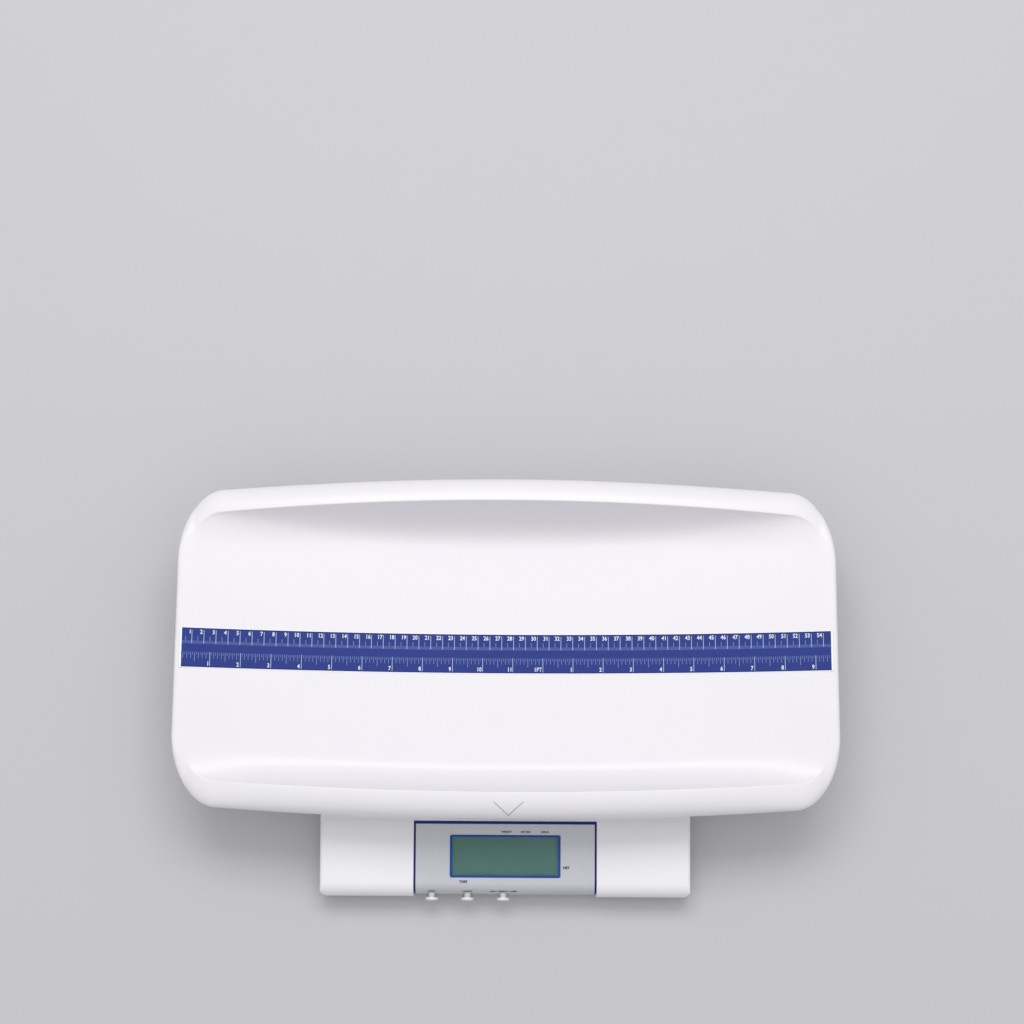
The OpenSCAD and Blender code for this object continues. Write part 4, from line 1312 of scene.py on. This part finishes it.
    def flat_film(self) -> bpy.types.Mesh:
        """The film before it is laid: a long thin slab in many short steps.

        Returns:
            Its mesh.
        """
        steps = 240
        shape = bmesh.new()
        rings = []
        for i in range(steps + 1):
            x = (i / steps - 0.5) * self.length
            rings.append([
                shape.verts.new((x, y * self.width / 2, z))
                for y, z in ((-1, 0), (1, 0), (1, self.film), (-1, self.film))
            ])
        for ring, following in zip(rings, rings[1:]):
            for k in range(4):
                shape.faces.new((ring[k], ring[(k + 1) % 4], following[(k + 1) % 4], following[k]))
        shape.faces.new(rings[0])
        shape.faces.new(rings[-1])
        bmesh.ops.recalc_face_normals(shape, faces=shape.faces)
        mesh = bpy.data.meshes.new("film")
        shape.to_mesh(mesh)
        shape.free()
        return mesh

    def numbers(self) -> list[bpy.types.Mesh]:
        """The numbers of both scales, flat, left of their ticks.

        Returns:
            One mesh for each number.
        """
        start = -self.length / 2
        centimetre_row, inch_row, foot = 4.0 * MM, 30.4 * MM, 12
        made = []
        for centimetre in range(1, self.CENTIMETRES + 1):
            made.append(self.number(str(centimetre), start + centimetre * CM, centimetre_row))
        for inch in range(1, self.INCHES + 1):
            label = "1FT" if inch == foot else str(inch % foot)
            made.append(self.number(label, start + inch * INCH, inch_row))
        return made

    def number(self, label: str, tick_x: float, below_back: float) -> bpy.types.Mesh:
        """One number, beside its tick.

        Args:
            label: What it says.
            tick_x: Where its tick stands.
            below_back: How far its middle lies in front of the tape's back edge.

        Returns:
            Its mesh.
        """
        mesh = lettering(label, self.capital, stretch=self.stretch)
        x = tick_x - spread(mesh, 0) / 2 - self.aside
        mesh.transform(Matrix.Translation((x, self.width / 2 - below_back, self.film + self.ink)))
        return mesh

    def ticks(self, marks: bpy.types.NodeTree) -> dict[Finish, list[bpy.types.Mesh]]:
        """The ticks of both scales, laid on the floor.

        Args:
            marks: The tree that prints a row of ticks.

        Returns:
            The rows' meshes, by the ink that they are printed in.
        """
        start = -self.length / 2
        centimetres, inches = self.CENTIMETRES, self.INCHES
        # The ink, the count, the first tick and the pitch. Then, in millimetres, the width of a
        # tick and where it starts and ends in front of the tape's back edge.
        rows = (
            (TICK_INK, centimetres, start + CM, CM, 0.5, 2.2, 13.6),
            (FAINT_INK, centimetres, start + CM / 2, CM, 0.5, 7.8, 11.4),
            (TICK_INK, inches, start + INCH, INCH, 0.5, 20.6, 32.4),
            (FAINT_INK, inches, start + INCH / 2, INCH, 0.5, 20.8, 28.4),
            (FAINT_INK, inches * 4 + 2, start + INCH / 8, INCH / 4, 0.42, 20.8, 26.0),
            (FAINT_INK, inches * 2 + 1, start + INCH / 4, INCH / 2, 0.42, 20.8, 26.0),
            (FAINT_INK, inches * 8 + 4, start + INCH / 16, INCH / 8, 0.35, 20.8, 23.3),
        )
        printed: dict[Finish, list[bpy.types.Mesh]] = {TICK_INK: [], FAINT_INK: []}
        for ink, count, first, pitch, width, near, far in rows:
            printed[ink].append(run_tree(marks, {
                "Count": count, "First": first, "Pitch": pitch, "Tick width": width * MM,
                "Tick length": (far - near) * MM,
                "Tick middle": self.width / 2 - (near + far) / 2 * MM,
                "Material": ink.material(),
            }))
        return printed

    def build(self) -> list[bpy.types.Object]:
        """Makes the film and its print.

        Returns:
            The pieces.
        """
        bend = self.bend_tree()
        lay = self.lay_tree(bend)
        marks = self.marks_tree(bend)
        film = linked(
            "tape_film",
            run_tree(lay, {"Material": self.finish().material()}, self.flat_film()),
        )
        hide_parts("measuring_tape")
        numbers = run_tree(lay, {"Material": WHITE_INK.material()}, joined(self.numbers()))
        pieces = [film, linked("tape_numbers", numbers, WHITE_INK)]
        for ink, meshes in self.ticks(marks).items():
            pieces.append(linked(f"tape_{ink.name}", joined(meshes), ink))
        for piece in pieces:
            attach(piece, "tray_unit")
        return pieces


# ---------------------------------------------------------------- console


@dataclass
class Console:
    """The console's face: its curve, its legends and the film at the window's corners.

    Attributes:
        front_y: The front of the white sides.
        window_y: The middle of the window along the depth, on the face.
        window_z: The height of the fascia there.
        window_w: The width of the window with its frame.
        window_h: Its height along the face.
        tilt: Slope of the face in degrees.
        front_r: Radius of the front edge of the white sides.
        recess: How far the fascia lies below the white face.
        ink: Thickness of the print.
        patch: Size of the film that shows behind a rounded corner of the window's frame.
    """

    FRAME_T = 0.8 * MM
    WINDOW_T = 1.2 * MM

    front_y: float
    window_y: float
    window_z: float
    window_w: float
    window_h: float
    tilt: float = 7.0
    front_r: float = 12 * MM
    recess: float = 2 * MM
    ink: float = 0.04 * MM
    patch: float = 1.7 * MM

    @classmethod
    def from_frame(cls) -> Console:
        """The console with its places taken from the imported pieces."""
        low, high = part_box("display_window")
        slope = math.radians(cls.tilt)
        out = Vector((0, -math.sin(slope), math.cos(slope)))
        surface = (low + high) / 2 + out * (cls.WINDOW_T / 2 + cls.FRAME_T)
        deep = (high.y - low.y - cls.WINDOW_T * math.sin(slope)) / math.cos(slope)
        return cls(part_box("top_cover")[0].y, surface.y, surface.z, high.x - low.x, deep)

    def on_fascia(self, mesh: bpy.types.Mesh) -> bpy.types.Mesh:
        """Lays a flat drawing on the fascia, round its front edge.

        Args:
            mesh: A drawing with X to the right, Y up the slope from the middle of the window and Z
                above the fascia.

        Returns:
            The same mesh, in place.
        """
        slope = math.radians(self.tilt)
        up = Vector((0, math.cos(slope), math.sin(slope)))
        out = Vector((0, -math.sin(slope), math.cos(slope)))
        middle = Vector((0, self.window_y, self.window_z))
        radius = self.front_r - self.recess
        edge_y = self.front_y + self.front_r
        start = (edge_y - radius * math.sin(slope) - self.window_y) / math.cos(slope)
        centre = middle + up * start - out * radius
        for vertex in mesh.vertices:
            x, y, z = vertex.co
            if y >= start:
                place = middle + up * y + out * z
            else:
                turn = slope + (start - y) / radius
                place = centre + Vector((0, -math.sin(turn), math.cos(turn))) * (radius + z)
            vertex.co = (x, place.y, place.z)
        mesh.update()
        return mesh

    def legend(self, words: str, x: float, y: float, height: float, width: float) -> bpy.types.Mesh:
        """One legend on the fascia.

        Args:
            words: What it says.
            x: Its middle, to the right of the window's middle, in millimetres.
            y: Its middle up the slope from the window's middle, in millimetres.
            height: The height of its capitals, in millimetres.
            width: Its width, in millimetres.

        Returns:
            Its mesh, in place.
        """
        mesh = lettering(words, height * MM, width * MM, weight=0.05)
        cut_rows(mesh, 0.25 * MM)
        mesh.transform(Matrix.Translation((x * MM, y * MM, self.ink)))
        return self.on_fascia(mesh)

    def corner(self, side: int, end: int) -> bpy.types.Mesh:
        """A patch of the fascia's film behind one rounded corner of the window's frame.

        Args:
            side: 1 for the right, -1 for the left.
            end: 1 for the back, -1 for the front.

        Returns:
            Its mesh, in place.
        """
        half, under = self.patch / 2, 0.01 * MM
        x, y = side * (self.window_w / 2 - half), end * (self.window_h / 2 - half)
        ring = ((-1, -1), (1, -1), (1, 1), (-1, 1))
        mesh = bpy.data.meshes.new("corner")
        points = [(x + a * half, y + b * half, -under) for a, b in ring]
        mesh.from_pydata(points, [], [(0, 1, 2, 3)])
        return self.on_fascia(mesh)

    def build(self) -> list[bpy.types.Object]:
        """Prints the legends and lays the film at the window's corners.

        Returns:
            The pieces.
        """
        black = [
            self.legend("WEIGHT", 1.0, 20.3, 1.75, 9.2),
            self.legend("HOLD", 33.2, 20.3, 1.75, 6.8),
            self.legend("NET", 51.2, -9.4, 2.3, 5.6),
            self.legend("UNIT", -61.5, -30.4, 1.9, 6.5),
            self.legend("HOLD", -31.5, -30.4, 1.9, 8.1),
            self.legend("ON / ZERO / OFF", -1.5, -30.4, 1.9, 22.6),
        ]
        blue = [
            self.legend("INTAKE", 17.1, 20.3, 1.75, 8.1),
            self.legend("TARE", -35.0, -21.2, 2.3, 7.0),
        ]
        corners = [self.corner(side, end) for side in (-1, 1) for end in (-1, 1)]
        pieces = [
            linked("legends_black", joined(black), BLACK_INK),
            linked("legends_blue", joined(blue), BLUE_INK),
            linked("window_corners", joined(corners), SILVER_FILM),
        ]
        for piece in pieces:
            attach(piece, "base")
        return pieces


# ---------------------------------------------------------------- studio


@dataclass
class Studio:
    """The camera, the lamps and the floor.

    Attributes:
        target: The point on the tray that the camera is measured from.
        offset: The camera's place, measured from the target.
        pitch: How far the view leans from straight down, in degrees.
        roll: Turn of the camera about its own axis, in degrees.
        lens: The lens for a sensor 36 mm wide.
    """

    target: Vector
    offset: tuple[float, float, float] = (0.0040, -0.2639, 1.8501)
    pitch: float = 11.8
    roll: float = 0.34
    lens: float = 77.65

    def camera(self) -> None:
        """Places the camera as the photograph's was."""
        data = bpy.data.cameras.new("camera")
        data.lens = self.lens
        data.sensor_width = 36.0
        data.clip_start, data.clip_end = 0.05, 50.0
        camera = bpy.data.objects.new("camera", data)
        bpy.context.scene.collection.objects.link(camera)
        lean = Matrix.Rotation(math.radians(self.pitch), 4, "X")
        turn = Matrix.Rotation(math.radians(self.roll), 4, "Z")
        camera.matrix_world = Matrix.Translation(self.target + Vector(self.offset)) @ lean @ turn
        bpy.context.scene.camera = camera

    def lamp(
        self,
        name: str,
        place: tuple[float, float, float],
        aim: Vector,
        size: tuple[float, float],
        watts: float,
    ) -> None:
        """Adds a soft box.

        Args:
            name: Its name.
            place: Where it stands.
            aim: The point that it faces.
            size: Its width and height.
            watts: Its power.
        """
        data = bpy.data.lights.new(name, "AREA")
        data.shape = "RECTANGLE"
        data.size, data.size_y = size
        data.energy = watts
        lamp = bpy.data.objects.new(name, data)
        bpy.context.scene.collection.objects.link(lamp)
        lamp.location = place
        lamp.rotation_mode = "QUATERNION"
        lamp.rotation_quaternion = (aim - Vector(place)).to_track_quat("-Z", "Y")

    def floor(self) -> None:
        """Lays the plain pale floor."""
        half = 25.0
        ring = [(-half, -half, 0), (half, -half, 0), (half, half, 0), (-half, half, 0)]
        mesh = bpy.data.meshes.new("floor")
        mesh.from_pydata(ring, [], [(0, 1, 2, 3)])
        finish = Finish("floor_pale", (0.54, 0.54, 0.56), 0.7, Skin.GRAIN, 4 * MM, 0.01 * MM, 0.01)
        linked("floor", mesh, finish)

    def world(self, top: float, low: float) -> None:
        """Sets the plain light from all round, which fades towards the floor.

        Args:
            top: How strong it is overhead.
            low: Its strength at the floor, as a share of that.
        """
        world = bpy.data.worlds.new("studio")
        world.use_nodes = True
        world.node_tree.nodes.clear()
        graph = Graph(world.node_tree)
        height = graph.parts(graph.term(graph.node("ShaderNodeTexCoord"), "Generated"))[2]
        strength = (height.share() * (1.0 - low) + low) * top
        white = (1.0, 1.0, 1.0, 1.0)
        light = graph.node("ShaderNodeBackground", {"Color": white, "Strength": strength})
        graph.node("ShaderNodeOutputWorld", {"Surface": light})
        bpy.context.scene.world = world

    def build(self) -> None:
        """Sets everything up."""
        aim = Vector((0.0, 0.0, 0.05))
        self.camera()
        self.floor()
        self.world(top=0.99, low=0.35)
        self.lamp("key", place=(0.0, 1.13, 2.12), aim=aim, size=(1.8, 0.9), watts=22.0)
        bpy.context.scene.view_settings.view_transform = "Standard"


# ---------------------------------------------------------------- the whole scale


# Radii of the rounded edges.
MOULDED_RADII = {
    "top_cover": 0.5 * MM,
    "bottom_pan": 0.4 * MM,
    "battery_door": 0.3 * MM,
    "display_fascia": 0.15 * MM,
    "fascia_trim": 0.15 * MM,
    "window_frame": 0.2 * MM,
    "display_window": 0.15 * MM,
    "rubber_feet": 0.4 * MM,
    "unit_button": 0.3 * MM,
    "hold_button": 0.3 * MM,
    "power_button": 0.3 * MM,
    "load_cell": 0.2 * MM,
    "strain_gauges": 0.02 * MM,
}

# The load cell and its strain gauges, whose rounded copies keep their place baked in and are attached
# to no body.
BENDING = ("load_cell", "strain_gauges")

# The V's middle, and how far its point stands behind the tray's front edge.
RIM_MARK_X = 2.5 * MM
RIM_MARK_Y = 2.6 * MM


def dress_nodes(frame: dict) -> None:
    """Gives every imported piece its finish, and the visible ones their rounded edges.
    """
    softener = Softener(frame["nodes"])
    members = frame["record"]["behaviour"]["bodies"]
    bodies = {node: body for body, nodes in members.items() for node in nodes}
    for node, finish in NODE_FINISHES.items():
        mesh = frame["nodes"][node].data
        mesh.materials.clear()
        mesh.materials.append(finish.material())
        if node in MOULDED_RADII:
            piece = softener.copy(node, MOULDED_RADII[node])
            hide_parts(node)
            if node in BENDING:
                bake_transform(piece)
            else:
                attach(piece, bodies[node])
        LOG.info("%s: %s", node, finish.name)


def main() -> None:
    """Builds the scale's looks in order."""
    logging.basicConfig(level=logging.INFO, format="%(name)s: %(message)s")
    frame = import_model()
    tray = Tray.from_frame()
    tape_low, tape_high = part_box("measuring_tape")
    target = (tape_low + tape_high) / 2
    target.z = tray.floor_z
    Studio(target).build()
    dress_nodes(frame)
    moulding = tray.build()
    mark = RimMark(RIM_MARK_X, tray.middle_y - tray.depth / 2 + RIM_MARK_Y)
    made = [moulding, mark.build(moulding)]
    made += MeasuringTape(tray, middle_y=target.y).build()
    made += Console.from_frame().build()
    for piece in made:
        LOG.info("%s: %d faces", piece.name, len(piece.data.polygons))


if __name__ == "__main__":
    main()
